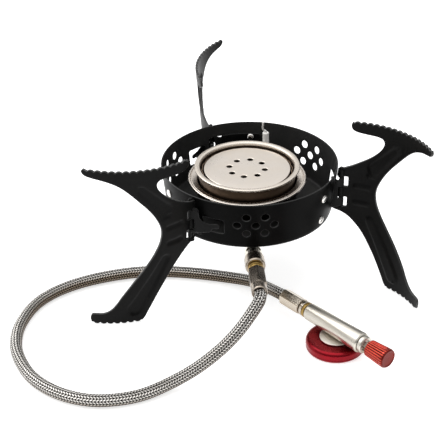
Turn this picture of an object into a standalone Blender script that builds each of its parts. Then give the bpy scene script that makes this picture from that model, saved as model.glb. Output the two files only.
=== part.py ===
"""Folding gas stove with a remote canister valve, standing open on a level floor.

The burner sits in a round pressed bowl that also screens it from wind. Three curved sheet legs
turn on upright pins outside the bowl and carry the pot on their toothed top edges. A braided
hose joins the jet under the bowl to a valve that screws onto a gas canister.
All lengths below are millimetres, and they become metres where a mesh is made.
"""
import math

import bmesh
import bpy
from mathutils import Matrix, Vector

MM = 0.001
GAP = 0.3

# The burner axis, placed so that the standing stove is centred on the origin.
AXIS_X = -5.1
AXIS_Y = -21.9

# Bowl
RIM_RADIUS = 54.0
RIM_Z = 75.3
BOWL_FLOOR_Z = 44.4
WALL_TAPER = math.radians(6.5)
SHEET = 0.8
CORNER_RADIUS = 2.2
HOLE_DIAMETER = 4.8
HOLE_PITCH = 11.0
HOLE_ROW_PITCH = 5.7
HOLE_CENTRE_Z = 60.9
HOLE_FIELD_AZIMUTHS = (-86.0, 42.0, 159.5)
WINDOW_SPAN = (6.5, 21.3)
WINDOW_Z = (53.6, 63.4)
ARM_OPENING_SPAN = (-9.5, 3.5)
ARM_OPENING_Z = (48.2, 67.4)

# Hinges: name, azimuth of the pin, direction in which the open leg leaves the pin (degrees)
HINGES = (
    ("right", -6.5, -7.8),
    ("left", -128.0, -127.4),
    ("back", 116.3, 116.3),
)
PIN_CIRCLE = 56.0
PIN_RADIUS = 1.1
PIN_HOLE_RADIUS = 1.4
KNUCKLE_RADIUS = 2.0
HINGE_MID_Z = 58.0
UPPER_KNUCKLE_Z = (62.3, 68.1)
UPPER_ARM_TOP_Z = 66.8
LOWER_KNUCKLE_Z = (48.9, 54.7)
NOTCH_END = 4.4
STRAP_SPAN = (-34.0, -5.0)
STRAP_THICKNESS = 1.1
TONGUE_Z = (56.8, 60.9)
RIVET_OFFSET = -27.0
RIVET_Z = (65.8, 50.8)
RIVET_HOLE = 3.6

# Legs
LEG_THICKNESS = 1.6
LEG_CURVE_RADIUS = 57.0
LEG_LEAN = math.radians(4.7)
TOOTH_DEPTH = 1.3
TIP_Z = 107.0
TOP_TEETH = 15
FOOT_TEETH = 7

# Burner
BURNER_X = -1.5
CUP_RIM_RADIUS = 32.3
CUP_RIM_Z = 73.0
PAN_RADIUS = 36.1
PAN_RIM_Z = 65.4
CAP_RADIUS = 27.2
CAP_Z = 71.3
PORT_CIRCLE = 11.0
PORT_DIAMETER = 3.6
PORT_COUNT = 8
NECK_HOLE_RADIUS = 9.3
FLAME_RING_RADIUS = 27.35
FLAME_RING_WAVES = 24
INSULATOR_XY = (10.3, 41.6)
INSULATOR_HOLE_RADIUS = 2.4
WIRE_RADIUS = 0.5

# Gas line under the bowl
GAS_Z = 37.4
GAS_AZIMUTH = -85.2
GAS_BORE = 1.4
AIR_HOLE_RADIUS = 1.3
HOSE_DIAMETER = 7.2

# Valve, lying on the floor on its canister collar
VALVE_CENTRE = (49.8, -87.0)
VALVE_AZIMUTH = -48.0
VALVE_Z = 13.6
COLLAR_RADIUS = 17.25
COLLAR_HEIGHT = 6.5
SOCKET_RADIUS = 5.55
KNOB_FLUTES = 20
FLUTE_DEPTH = 0.45

# Points the hose runs through, from the jet to the valve
HOSE_ROUTE = (
    (5.9, -88.2, 37.4), (6.1, -90.8, 37.3), (4.9, -95.2, 36.2), (0.4, -101.3, 31.9), (-6.8, -107.8, 24.8),
    (-16.5, -113.8, 17.0), (-29.4, -120.5, 9.6), (-43.3, -127.9, 5.2), (-58.4, -136.8, 3.8),
    (-73.7, -141.5, 3.7), (-89.6, -141.5, 3.7), (-106.2, -135.0, 3.7), (-120.6, -122.8, 3.7),
    (-130.1, -107.0, 3.7), (-135.3, -90.6, 3.7), (-135.7, -71.6, 3.7), (-130.2, -51.3, 3.7),
    (-119.9, -36.7, 3.7), (-105.1, -25.6, 3.7), (-86.6, -17.6, 3.7), (-67.6, -13.2, 3.7),
    (-48.7, -13.0, 3.7), (-30.4, -15.4, 3.7), (-12.2, -20.2, 4.1), (0.4, -27.0, 6.0),
    (9.6, -38.9, 9.8), (16.6, -50.2, 13.3), (20.7, -54.7, 13.6),
)


def material(name, colour, roughness, metallic):
    made = bpy.data.materials.new(name)
    made.use_nodes = True
    shader = made.node_tree.nodes["Principled BSDF"]
    shader.inputs["Base Color"].default_value = (*colour, 1.0)
    shader.inputs["Roughness"].default_value = roughness
    shader.inputs["Metallic"].default_value = metallic
    made.diffuse_color = (*colour, 1.0)
    return made


BLACK = ((0.012, 0.012, 0.012), 0.38, 0.0)
STEEL = ((0.72, 0.69, 0.64), 0.25, 1.0)
NICKEL = ((0.70, 0.68, 0.63), 0.30, 1.0)
BRASS = ((0.55, 0.36, 0.12), 0.30, 1.0)
BRIGHT = ((0.85, 0.85, 0.85), 0.15, 1.0)
RED = ((0.55, 0.01, 0.02), 0.28, 0.8)
BRAID = ((0.62, 0.62, 0.62), 0.35, 1.0)
RUBBER = ((0.02, 0.02, 0.02), 0.8, 0.0)
CERAMIC = ((0.85, 0.84, 0.80), 0.45, 0.0)


def finish(name, mesh, finish_values, sharp_degrees=35.0):
    """Makes the object for a mesh in metres, with its own material."""
    mesh.name = name
    body = bpy.data.objects.new(name, mesh)
    bpy.context.scene.collection.objects.link(body)
    mesh.materials.clear()
    mesh.materials.append(material(name + "_finish", *finish_values))
    mesh.shade_smooth()
    mesh.set_sharp_from_angle(angle=math.radians(sharp_degrees))
    return body


def to_mesh(bm, name="mesh"):
    """Turns a bmesh in millimetres into a mesh in metres."""
    bmesh.ops.recalc_face_normals(bm, faces=bm.faces)
    bm.transform(Matrix.Scale(MM, 4))
    mesh = bpy.data.meshes.new(name)
    bm.to_mesh(mesh)
    bm.free()
    return mesh


def turned(profile, segments=64):
    """Spins a closed profile of (radius, height) points about Z."""
    bm = bmesh.new()
    rings = []
    for radius, height in profile:
        if radius < 1e-6:
            rings.append([bm.verts.new((0.0, 0.0, height))])
            continue
        ring = []
        for index in range(segments):
            angle = 2.0 * math.pi * index / segments
            ring.append(bm.verts.new((radius * math.cos(angle), radius * math.sin(angle), height)))
        rings.append(ring)
    for first, second in zip(rings, rings[1:] + rings[:1]):
        if len(first) == 1 and len(second) == 1:
            continue
        for index in range(segments):
            following = (index + 1) % segments
            corners = []
            for ring in (first, second):
                if len(ring) == 1:
                    corners.append([ring[0]])
                else:
                    corners.append([ring[index], ring[following]])
            bm.faces.new(corners[0] + corners[1][::-1])
    return bm


def prism(outline, low, high):
    """Extrudes a closed outline of (x, y) points from low to high."""
    bm = bmesh.new()
    base = bm.faces.new([bm.verts.new((x, y, low)) for x, y in outline])
    raised = bmesh.ops.extrude_face_region(bm, geom=[base])["geom"]
    verts = [item for item in raised if isinstance(item, bmesh.types.BMVert)]
    bmesh.ops.translate(bm, verts=verts, vec=(0.0, 0.0, high - low))
    return bm


def box(low, high):
    corners = ((low[0], low[1]), (high[0], low[1]), (high[0], high[1]), (low[0], high[1]))
    return prism(corners, low[2], high[2])


def drum(radius, low, high, segments=24):
    return turned([(0.0, low), (radius, low), (radius, high), (0.0, high)], segments)


def hexagon(across_flats):
    corner = across_flats / math.sqrt(3.0)
    return [(corner * math.cos(math.radians(60 * k)), corner * math.sin(math.radians(60 * k)))
            for k in range(6)]


def moved(bm, matrix):
    bm.transform(matrix)
    return bm


def about_z(degrees):
    return Matrix.Rotation(math.radians(degrees), 4, "Z")


def shift(x, y, z):
    return Matrix.Translation(Vector((x, y, z)))


LIE_DOWN = Matrix.Rotation(math.radians(90.0), 4, "Y")


def place(body, matrix):
    """Places an object by a matrix in millimetres about the burner axis."""
    location, rotation, _ = matrix.decompose()
    body.location = (location + Vector((AXIS_X, AXIS_Y, 0.0))) * MM
    body.rotation_mode = "XYZ"
    body.rotation_euler = rotation.to_euler("XYZ")
    return body


def merged(parts):
    """Joins bmeshes that don't touch into one, as a cutter."""
    total = bmesh.new()
    for part in parts:
        bmesh.ops.recalc_face_normals(part, faces=part.faces)
        mesh = bpy.data.meshes.new("part")
        part.to_mesh(mesh)
        part.free()
        total.from_mesh(mesh)
        bpy.data.meshes.remove(mesh)
    return total


def combine(base, tool, operation):
    """Joins or cuts two closed bmeshes in millimetres and returns the result."""
    objects = []
    for bm in (base, tool):
        bmesh.ops.recalc_face_normals(bm, faces=bm.faces)
        mesh = bpy.data.meshes.new("operand")
        bm.to_mesh(mesh)
        bm.free()
        body = bpy.data.objects.new("operand", mesh)
        bpy.context.scene.collection.objects.link(body)
        objects.append(body)
    step = objects[0].modifiers.new("step", "BOOLEAN")
    step.operation = operation
    step.solver = "EXACT"
    step.object = objects[1]
    graph = bpy.context.evaluated_depsgraph_get()
    mesh = bpy.data.meshes.new_from_object(objects[0].evaluated_get(graph))
    result = bmesh.new()
    result.from_mesh(mesh)
    bpy.data.meshes.remove(mesh)
    for body in objects:
        data = body.data
        bpy.data.objects.remove(body)
        bpy.data.meshes.remove(data)
    bmesh.ops.remove_doubles(result, verts=result.verts, dist=0.0005)
    return result


def smooth_curve(points, steps):
    """Reads a Catmull-Rom curve through points, with a number of steps in each span."""
    ends = [2 * points[0] - points[1]] + list(points) + [2 * points[-1] - points[-2]]
    out = []
    for a, b, c, d in zip(ends, ends[1:], ends[2:], ends[3:]):
        for index in range(steps):
            t = index / steps
            out.append(0.5 * (2 * b + (c - a) * t + (2 * a - 5 * b + 4 * c - d) * t * t
                              + (3 * b - a - 3 * c + d) * t ** 3))
    out.append(points[-1])
    return out


def wall_radius(z):
    """Outer radius of the bowl's wall at a height."""
    return RIM_RADIUS - (RIM_Z - z) * math.tan(WALL_TAPER)


# ---------------------------------------------------------------- bowl

def radial_box(azimuth_low, azimuth_high, z_low, z_high, corner):
    """A cutter with rounded corners that crosses the wall over a span of azimuth."""
    radius = wall_radius(0.5 * (z_low + z_high))
    middle = 0.5 * (azimuth_low + azimuth_high)
    half = radius * math.sin(math.radians(0.5 * (azimuth_high - azimuth_low)))
    outline = []
    for cx, cz, start in ((half - corner, z_high - corner, 0), (-half + corner, z_high - corner, 90),
                          (-half + corner, z_low + corner, 180), (half - corner, z_low + corner, 270)):
        for step in range(4):
            angle = math.radians(start + 30 * step)
            outline.append((cx + corner * math.cos(angle), cz + corner * math.sin(angle)))
    bm = prism(outline, -7.0, 7.0)
    stand = Matrix(((0, 0, 1, radius), (1, 0, 0, 0), (0, 1, 0, 0), (0, 0, 0, 1)))
    return moved(bm, about_z(middle) @ stand)


def radial_drum(azimuth, z, diameter, segments):
    """A round cutter that crosses the wall square to the axis of the bowl."""
    bm = drum(0.5 * diameter, -6.0, 6.0, segments)
    return moved(bm, about_z(azimuth) @ shift(wall_radius(z), 0.0, z) @ LIE_DOWN)


def bowl():
    """The pressed bowl, pierced by three fields of seven air holes and by the hinge openings."""
    corner_steps = 5
    outer = [(RIM_RADIUS, RIM_Z)]
    outer.append((wall_radius(BOWL_FLOOR_Z + CORNER_RADIUS), BOWL_FLOOR_Z + CORNER_RADIUS))
    centre = wall_radius(BOWL_FLOOR_Z + CORNER_RADIUS) - CORNER_RADIUS
    for step in range(1, corner_steps + 1):
        angle = 0.5 * math.pi * step / corner_steps
        outer.append((centre + CORNER_RADIUS * math.cos(angle),
                      BOWL_FLOOR_Z + CORNER_RADIUS * (1.0 - math.sin(angle))))
    inside_radius = CORNER_RADIUS - SHEET
    inner = []
    for step in range(corner_steps, 0, -1):
        angle = 0.5 * math.pi * step / corner_steps
        inner.append((centre + inside_radius * math.cos(angle),
                      BOWL_FLOOR_Z + CORNER_RADIUS - inside_radius * math.sin(angle)))
    inner.append((centre + inside_radius, BOWL_FLOOR_Z + CORNER_RADIUS))
    inner.append((RIM_RADIUS - SHEET, RIM_Z))
    profile = outer + [(0.0, BOWL_FLOOR_Z), (0.0, BOWL_FLOOR_Z + SHEET)] + inner
    shell = turned(profile, 72)
    cutters = []
    for field in HOLE_FIELD_AZIMUTHS:
        for row, count in ((1, 2), (0, 3), (-1, 2)):
            z = HOLE_CENTRE_Z + row * HOLE_ROW_PITCH
            pitch = math.degrees(HOLE_PITCH / wall_radius(HOLE_CENTRE_Z))
            for index in range(count):
                azimuth = field + (index - 0.5 * (count - 1)) * pitch
                cutters.append(radial_drum(azimuth, z, HOLE_DIAMETER, 12))
    for _, azimuth, _ in HINGES:
        cutters.append(radial_box(azimuth + WINDOW_SPAN[0], azimuth + WINDOW_SPAN[1],
                                  *WINDOW_Z, 1.2))
        cutters.append(radial_box(azimuth + ARM_OPENING_SPAN[0], azimuth + ARM_OPENING_SPAN[1],
                                  *ARM_OPENING_Z, 1.0))
        for z in RIVET_Z:
            cutters.append(radial_drum(azimuth + RIVET_OFFSET, z, RIVET_HOLE, 8))
    cutters.append(moved(drum(NECK_HOLE_RADIUS, 40.0, 50.0, 32), shift(BURNER_X, 0, 0)))
    cutters.append(moved(drum(INSULATOR_HOLE_RADIUS, 40.0, 50.0, 16), shift(*INSULATOR_XY, 0)))
    pierced = combine(shell, merged(cutters), "DIFFERENCE")
    place(finish("bowl", to_mesh(pierced), BLACK), Matrix.Identity(4))


# ---------------------------------------------------------------- hinges and legs

def hinge_bracket(name, azimuth):
    """A strap riveted inside the wall, with two arms out to the pin and a stop tongue."""
    bm = bmesh.new()
    columns = []
    steps = 7
    for index in range(steps + 1):
        angle = math.radians(STRAP_SPAN[0] + index * (STRAP_SPAN[1] - STRAP_SPAN[0]) / steps)
        column = []
        for z in (LOWER_KNUCKLE_Z[0], UPPER_KNUCKLE_Z[1]):
            outer = wall_radius(z) - SHEET - GAP
            for radius in (outer - STRAP_THICKNESS, outer):
                column.append(bm.verts.new((radius * math.cos(angle), radius * math.sin(angle), z)))
        columns.append(column)
    for a, b in zip(columns, columns[1:]):
        for i, j in ((0, 1), (1, 3), (3, 2), (2, 0)):
            bm.faces.new((a[i], a[j], b[j], b[i]))
    bm.faces.new((columns[0][0], columns[0][1], columns[0][3], columns[0][2]))
    bm.faces.new((columns[-1][0], columns[-1][2], columns[-1][3], columns[-1][1]))
    gap = box((44.0, -9.0, LOWER_KNUCKLE_Z[1] + 0.2), (53.0, -3.0, UPPER_KNUCKLE_Z[0] - 0.2))
    bm = combine(bm, gap, "DIFFERENCE")
    web = ((49.9, -6.0), (53.6, -3.5), (53.2, -2.9), (49.2, -4.9))
    bm = combine(bm, prism(web, LOWER_KNUCKLE_Z[1] - 0.5, UPPER_KNUCKLE_Z[0] + 0.5), "UNION")
    for (low, high), arm_top in ((UPPER_KNUCKLE_Z, UPPER_ARM_TOP_Z),
                                 (LOWER_KNUCKLE_Z, LOWER_KNUCKLE_Z[1])):
        arm = ((47.6, -6.6), (49.0, -6.6), (PIN_CIRCLE - 0.4, -1.95), (PIN_CIRCLE + 0.3, -1.4),
               (PIN_CIRCLE + 0.3, 1.2), (PIN_CIRCLE - 1.4, 1.2), (PIN_CIRCLE - 2.0, -1.6),
               (48.4, -4.6), (47.6, -4.6))
        bm = combine(bm, prism(arm, low, arm_top), "UNION")
        knuckle = moved(drum(KNUCKLE_RADIUS - 0.1, low, high, 14), shift(PIN_CIRCLE, 0, 0))
        bm = combine(bm, knuckle, "UNION")
    tab = ((PIN_CIRCLE + 0.2, 0.9), (PIN_CIRCLE - 0.2, 3.4), (54.2, 8.6), (50.8, 13.4), (50.0, 13.0),
           (53.0, 8.2), (PIN_CIRCLE - 1.6, 3.2), (PIN_CIRCLE - 1.4, 0.9))
    bm = combine(bm, prism(tab, LOWER_KNUCKLE_Z[0] + 4.3, LOWER_KNUCKLE_Z[1]), "UNION")
    upper_tab = ((PIN_CIRCLE + 0.2, 0.9), (PIN_CIRCLE - 0.2, 3.4), (54.9, 8.0), (54.3, 10.2),
                 (53.5, 10.0), (54.0, 7.6), (PIN_CIRCLE - 1.6, 3.2), (PIN_CIRCLE - 1.4, 0.9))
    bm = combine(bm, prism(upper_tab, UPPER_KNUCKLE_Z[0] + 0.3, UPPER_KNUCKLE_Z[1] - 0.3), "UNION")
    raised = ((PIN_CIRCLE - 0.2, 3.4), (54.2, 8.6), (50.8, 13.4), (50.0, 13.0), (53.0, 8.2),
              (PIN_CIRCLE - 1.6, 3.2))
    bm = combine(bm, prism(raised, LOWER_KNUCKLE_Z[1] - 0.5, TONGUE_Z[1]), "UNION")
    tongue = ((51.6, 12.3), (50.8, 13.4), (49.7, 16.3), (48.9, 16.0), (50.0, 13.0), (50.6, 12.0))
    bm = combine(bm, prism(tongue, *TONGUE_Z), "UNION")
    holes = [moved(drum(PIN_HOLE_RADIUS, 40.0, 80.0, 12), shift(PIN_CIRCLE, 0, 0))]
    for z in RIVET_Z:
        holes.append(radial_drum(RIVET_OFFSET, z, RIVET_HOLE, 8))
    bm = combine(bm, merged(holes), "DIFFERENCE")
    place(finish("bracket_" + name, to_mesh(bm), BLACK), about_z(azimuth))


def rivet(name, azimuth, z):
    """A domed rivet through the wall and the strap, with its formed tail inside."""
    head = wall_radius(z) + 0.25
    tail = wall_radius(z) - SHEET - GAP - STRAP_THICKNESS - 0.45
    profile = [(0.0, tail - 1.0), (2.2, tail - 0.6), (2.2, tail), (1.5, tail), (1.5, head),
               (2.5, head), (2.3, head + 0.6), (0.0, head + 1.05)]
    bm = moved(turned(profile, 12), LIE_DOWN)
    tilt = Matrix.Rotation(WALL_TAPER, 4, "Y")
    lift = shift(wall_radius(z), 0, z) @ tilt @ shift(-wall_radius(z), 0, 0)
    place(finish(name, to_mesh(bm), BRIGHT), about_z(azimuth) @ lift)


def hinge_pin(name, azimuth):
    """The upright pin of a hinge, with a rounded upper end."""
    profile = [(0.0, 45.2), (PIN_RADIUS, 45.2), (PIN_RADIUS, 74.5), (0.7, 74.9), (0.0, 75.0)]
    body = finish("pin_" + name, to_mesh(turned(profile, 12)), BLACK)
    place(body, about_z(azimuth) @ shift(PIN_CIRCLE, 0, 0))


def toothed_edge(start, end, count, depth):
    """Teeth along a line, with small flat crests on the line and valleys beside it."""
    a, b = Vector(start), Vector(end)
    along = b - a
    across = Vector((along.y, -along.x)).normalized() * depth
    points = []
    for tooth in range(count):
        for part, level in ((0.06, 1.0), (0.30, 0.0), (0.64, 0.0), (0.88, 0.85)):
            points.append(a + along * ((tooth + part) / count) + across * level)
    return points


def leg_outline():
    """Outline of a leg laid flat: distance from the pin along the sheet, and height."""
    arm_under = [(5.5, 104.2), (4.9, 102.3), (5.3, 100.2), (7.4, 98.5), (11.0, 97.7),
                 (16.0, 97.4), (22.0, 97.3), (25.2, 96.5), (26.3, 94.4), (25.6, 91.6),
                 (23.3, 88.3), (20.2, 85.1), (16.0, 81.8), (10.9, 78.6), (5.9, 75.9), (1.6, 74.2),
                 (-1.9, 73.4)]
    heel_side = [(-4.8, 46.7), (-3.6, 46.1), (1.4, 44.5), (5.9, 41.7), (12.0, 35.6), (16.1, 30.1),
                 (19.5, 24.6), (23.3, 18.1), (26.5, 12.0), (29.5, 6.1), (31.2, 2.6), (32.8, 0.6)]
    toe_side = [(63.2, 1.0), (63.8, 4.2), (62.9, 6.7), (60.0, 7.1), (56.8, 7.3), (53.8, 8.3),
                (50.9, 10.6), (48.1, 14.4), (45.6, 18.7), (41.5, 24.8), (37.1, 31.0),
                (32.3, 37.5), (28.2, 43.5), (25.4, 48.4), (23.4, 53.0), (22.5, 57.2),
                (22.4, 61.2), (23.4, 65.4), (25.7, 70.3), (28.5, 74.9), (32.2, 79.8),
                (36.5, 84.7), (40.7, 89.3), (45.0, 93.5), (49.0, 96.5), (53.3, 98.6),
                (58.1, 100.2), (63.4, 101.4), (67.8, 102.7), (69.6, 105.2), (69.3, 106.5),
                (68.6, TIP_Z), (66.4, TIP_Z)]
    outline = arm_under + heel_side
    outline += toothed_edge((33.6, 0.0), (62.0, 0.0), FOOT_TEETH, -TOOTH_DEPTH)
    outline += toe_side
    outline += toothed_edge((66.0, 106.8), (6.4, 104.6), TOP_TEETH, -TOOTH_DEPTH)
    return outline


def curved_sheet(outline, thickness, strip):
    """Fills an outline, gives it thickness and bends it about an upright axis."""
    bm = bmesh.new()
    verts = [bm.verts.new((s, 0.0, z)) for s, z in outline]
    bm.faces.new(verts)
    raised = bmesh.ops.extrude_face_region(bm, geom=bm.faces[:])["geom"]
    top = [item for item in raised if isinstance(item, bmesh.types.BMVert)]
    bmesh.ops.translate(bm, verts=top, vec=(0.0, thickness, 0.0))
    bmesh.ops.translate(bm, verts=bm.verts, vec=(0.0, -0.5 * thickness, 0.0))
    furthest = max(s for s, _ in outline)
    cut = 0.0
    while cut < furthest:
        geometry = bm.verts[:] + bm.edges[:] + bm.faces[:]
        bmesh.ops.bisect_plane(bm, geom=geometry, plane_co=(cut, 0, 0), plane_no=(1, 0, 0),
                               dist=1e-4)
        cut += strip
    bmesh.ops.triangulate(bm, faces=[face for face in bm.faces if len(face.verts) > 4])
    for vert in bm.verts:
        s, side, z = vert.co
        angle = s / LEG_CURVE_RADIUS
        x = (LEG_CURVE_RADIUS + side) * math.sin(angle)
        y = (LEG_CURVE_RADIUS + side) * math.cos(angle) - LEG_CURVE_RADIUS
        vert.co = (x, y + (z - HINGE_MID_Z) * math.tan(LEG_LEAN), z)
    return bm


def leg(name, azimuth, direction):
    """A bent sheet leg with a knuckle rolled on its inner edge, turning on the hinge pin."""
    bm = curved_sheet(leg_outline(), LEG_THICKNESS, 7.0)
    bm = combine(bm, drum(KNUCKLE_RADIUS, 46.4, 73.6, 14), "UNION")
    notches = [box((-7.0, -4.5, low - GAP), (NOTCH_END, 4.5, high + GAP))
               for low, high in (UPPER_KNUCKLE_Z, LOWER_KNUCKLE_Z)]
    bm = combine(bm, merged(notches), "DIFFERENCE")
    trim = box((-7.0, -4.5, LOWER_KNUCKLE_Z[1]), (-2.6, 4.5, UPPER_KNUCKLE_Z[0]))
    bm = combine(bm, trim, "DIFFERENCE")
    bm = combine(bm, drum(PIN_HOLE_RADIUS, 40.0, 80.0, 12), "DIFFERENCE")
    body = finish("leg_" + name, to_mesh(bm), BLACK, 30.0)
    place(body, about_z(azimuth) @ shift(PIN_CIRCLE, 0, 0) @ about_z(direction - azimuth))


# ---------------------------------------------------------------- burner

def burner():
    """The tray, the cup that stands in it and the neck that holds both in the bowl's floor."""
    centre = shift(BURNER_X, 0, 0)
    pan = [(8.0, 46.6), (20.0, 46.6), (26.6, 48.0), (30.2, 52.0), (33.0, 62.4), (34.4, 63.9),
           (PAN_RADIUS - 0.6, 63.9), (PAN_RADIUS, 64.5), (PAN_RADIUS, 65.0),
           (PAN_RADIUS - 0.6, PAN_RIM_Z), (34.6, 65.2), (32.5, 64.7), (31.9, 63.6), (29.0, 52.8),
           (26.0, 49.2), (19.6, 47.9), (8.0, 47.9)]
    place(finish("burner_pan", to_mesh(turned(pan, 40)), STEEL), centre)
    cup = [(20.5, 50.2), (25.0, 50.2), (26.6, 53.0), (28.2, 58.0), (29.4, 64.0), (30.3, 70.8),
           (CUP_RIM_RADIUS - 0.3, 71.8), (CUP_RIM_RADIUS, 72.3), (CUP_RIM_RADIUS - 0.4, CUP_RIM_Z),
           (29.4, CUP_RIM_Z), (28.9, 72.6), (28.8, 70.4), (28.3, 64.0), (27.0, 58.4),
           (25.6, 54.2), (24.4, 51.4), (20.5, 51.4)]
    place(finish("burner_cup", to_mesh(turned(cup, 40)), STEEL), centre)
    neck = [(7.2, 42.9), (9.0, 42.9), (9.0, 46.3), (7.7, 46.3),
            (7.7, 49.9), (20.0, 49.9), (20.0, 51.2), (7.2, 51.2)]
    place(finish("mixing_neck", to_mesh(turned(neck, 24)), NICKEL), centre)


def flame_ring():
    """A crinkled strip that spreads the flame round the slot between cup and cap."""
    bm = bmesh.new()
    per_wave = 4
    total = FLAME_RING_WAVES * per_wave
    rings = []
    for radius_offset in (0.0, 0.35):
        for z in (66.0, 70.0):
            ring = []
            for index in range(total):
                angle = 2.0 * math.pi * index / total
                radius = (FLAME_RING_RADIUS + radius_offset
                          + 0.3 * math.sin(FLAME_RING_WAVES * angle))
                ring.append(bm.verts.new((radius * math.cos(angle), radius * math.sin(angle), z)))
            rings.append(ring)
    low_in, high_in, low_out, high_out = rings
    for index in range(total):
        following = (index + 1) % total
        for a, b in ((low_in, high_in), (high_in, high_out), (high_out, low_out), (low_out, low_in)):
            bm.faces.new((a[index], b[index], b[following], a[following]))
    place(finish("flame_ring", to_mesh(bm), STEEL, 60.0), shift(BURNER_X, 0, 0))


def burner_cap():
    """A flat lid with a ring of round ports and a short skirt inside the flame slot."""
    profile = [(0.0, 70.5), (26.2, 70.3), (26.2, 66.4), (26.9, 66.4), (27.0, 70.2),
               (CAP_RADIUS - 0.2, 70.4), (CAP_RADIUS, 70.8), (CAP_RADIUS - 0.3, 71.2),
               (CAP_RADIUS - 1.5, CAP_Z), (0.0, CAP_Z)]
    ports = []
    for index in range(PORT_COUNT):
        angle = math.radians(-10.0 + 360.0 / PORT_COUNT * index)
        spot = shift(PORT_CIRCLE * math.cos(angle), PORT_CIRCLE * math.sin(angle), 0)
        ports.append(moved(drum(0.5 * PORT_DIAMETER, 68.0, 74.0, 12), spot))
    bm = combine(turned(profile, 40), merged(ports), "DIFFERENCE")
    place(finish("burner_cap", to_mesh(bm), STEEL), shift(BURNER_X, 0, 0))


def bent_wire(points, radius, sides):
    """A round wire along points of (x, z) in the plane y = 0."""
    path = [Vector((x, 0.0, z)) for x, z in points]
    bm = bmesh.new()
    rings = []
    for index, spot in enumerate(path):
        along = path[min(index + 1, len(path) - 1)] - path[max(index - 1, 0)]
        along.normalize()
        side = Vector((along.z, 0.0, -along.x))
        ring = []
        for step in range(sides):
            angle = 2.0 * math.pi * step / sides
            ring.append(bm.verts.new(spot + radius * (side * math.cos(angle)
                                                      + Vector((0.0, math.sin(angle), 0.0)))))
        rings.append(ring)
    for first, second in zip(rings, rings[1:]):
        for step in range(sides):
            following = (step + 1) % sides
            bm.faces.new((first[step], first[following], second[following], second[step]))
    bm.faces.new(rings[0][::-1])
    bm.faces.new(rings[-1])
    return bm


def electrode():
    """The spark wire standing behind the burner in its ceramic tube."""
    x, y = INSULATOR_XY
    insulator = [(0.7, 42.0), (1.6, 42.0), (2.0, 42.5), (2.0, 73.4), (1.6, 73.9), (0.7, 73.9)]
    place(finish("spark_insulator", to_mesh(turned(insulator, 20)), CERAMIC), shift(x, y, 0))
    bend = ((0.0, 40.6), (0.0, 73.6), (-0.5, 74.8), (-1.6, 75.7), (-1.9, 77.0), (-1.7, 81.2))
    place(finish("spark_wire", to_mesh(bent_wire(bend, WIRE_RADIUS, 10)), BRIGHT), shift(x, y, 0))


# ---------------------------------------------------------------- gas line

def lying(name, bm, values, line, sharp=35.0):
    """Lays a piece turned about Z along a level line, its +Z pointing at the azimuth."""
    x, y, z, azimuth = line
    place(finish(name, to_mesh(bm), values, sharp), shift(x, y, z) @ about_z(azimuth) @ LIE_DOWN)


def hose_nut(low, high, across):
    """A hexagon with chamfered ends and a bore, along Z."""
    corner = across / math.sqrt(3.0)
    bevel = corner - 0.5 * across
    outline = hexagon(across)
    inner = [(x * 0.94, y * 0.94) for x, y in outline]
    bm = bmesh.new()
    rings = []
    for ring, height in ((inner, low), (outline, low + bevel), (outline, high - bevel), (inner, high)):
        rings.append([bm.verts.new((x, y, height)) for x, y in ring])
    for first, second in zip(rings, rings[1:]):
        for index in range(6):
            following = (index + 1) % 6
            bm.faces.new((first[index], first[following], second[following], second[index]))
    bm.faces.new(rings[0][::-1])
    bm.faces.new(rings[-1])
    return combine(bm, drum(GAS_BORE, low - 1.0, high + 1.0, 12), "DIFFERENCE")


def gas_line():
    """Everything on the level line under the bowl, from the mixing elbow to the hose."""
    line = (BURNER_X, 0.0, GAS_Z, GAS_AZIMUTH)
    tube = turned([(2.6, 8.4), (4.2, 8.4), (4.2, 40.0), (5.2, 44.0), (5.2, 50.0), (3.6, 50.0),
                   (2.6, 40.0)], 24)
    holes = []
    for angle in (45.0, 135.0, 225.0, 315.0):
        hole = drum(AIR_HOLE_RADIUS, 2.0, 7.0, 12)
        holes.append(moved(hole, about_z(angle) @ shift(0, 0, 46.0) @ LIE_DOWN))
    lying("mixing_tube", combine(tube, merged(holes), "DIFFERENCE"), NICKEL, line)
    chamber = [(0.0, -9.6), (4.0, -9.6), (5.2, -8.4), (5.2, 8.1), (2.6, 8.1), (2.6, 0.0), (0.0, -1.0)]
    upward = moved(drum(2.4, -6.2, 0.0, 24), LIE_DOWN)
    lying("mixing_elbow", combine(turned(chamber, 24), upward, "DIFFERENCE"), NICKEL, line)
    holder = [(GAS_BORE, 53.6), (3.2, 53.6), (3.2, 50.3), (5.0, 50.3), (6.0, 51.6), (6.0, 60.2),
              (GAS_BORE, 60.2)]
    lying("jet_holder", turned(holder, 24), NICKEL, line)
    jet = [(0.25, 50.6), (1.6, 50.6), (2.8, 51.6), (2.8, 53.3), (1.1, 53.3), (1.1, 58.0), (0.25, 58.0)]
    lying("gas_jet", turned(jet, 16), BRASS, line)
    ring = [(GAS_BORE, 60.5), (4.6, 60.5), (4.6, 64.6), (GAS_BORE, 64.6)]
    lying("seal_ring_jet", turned(ring, 20), BRASS, line)
    lying("hose_nut_jet", hose_nut(64.9, 81.3, 9.2), NICKEL, line, 20.0)
    sleeve = [(GAS_BORE, 81.6), (4.6, 81.6), (4.7, 82.4), (4.7, 87.2), (4.3, 87.8), (GAS_BORE, 87.8)]
    lying("hose_ferrule", turned(sleeve, 20), NICKEL, line)


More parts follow.
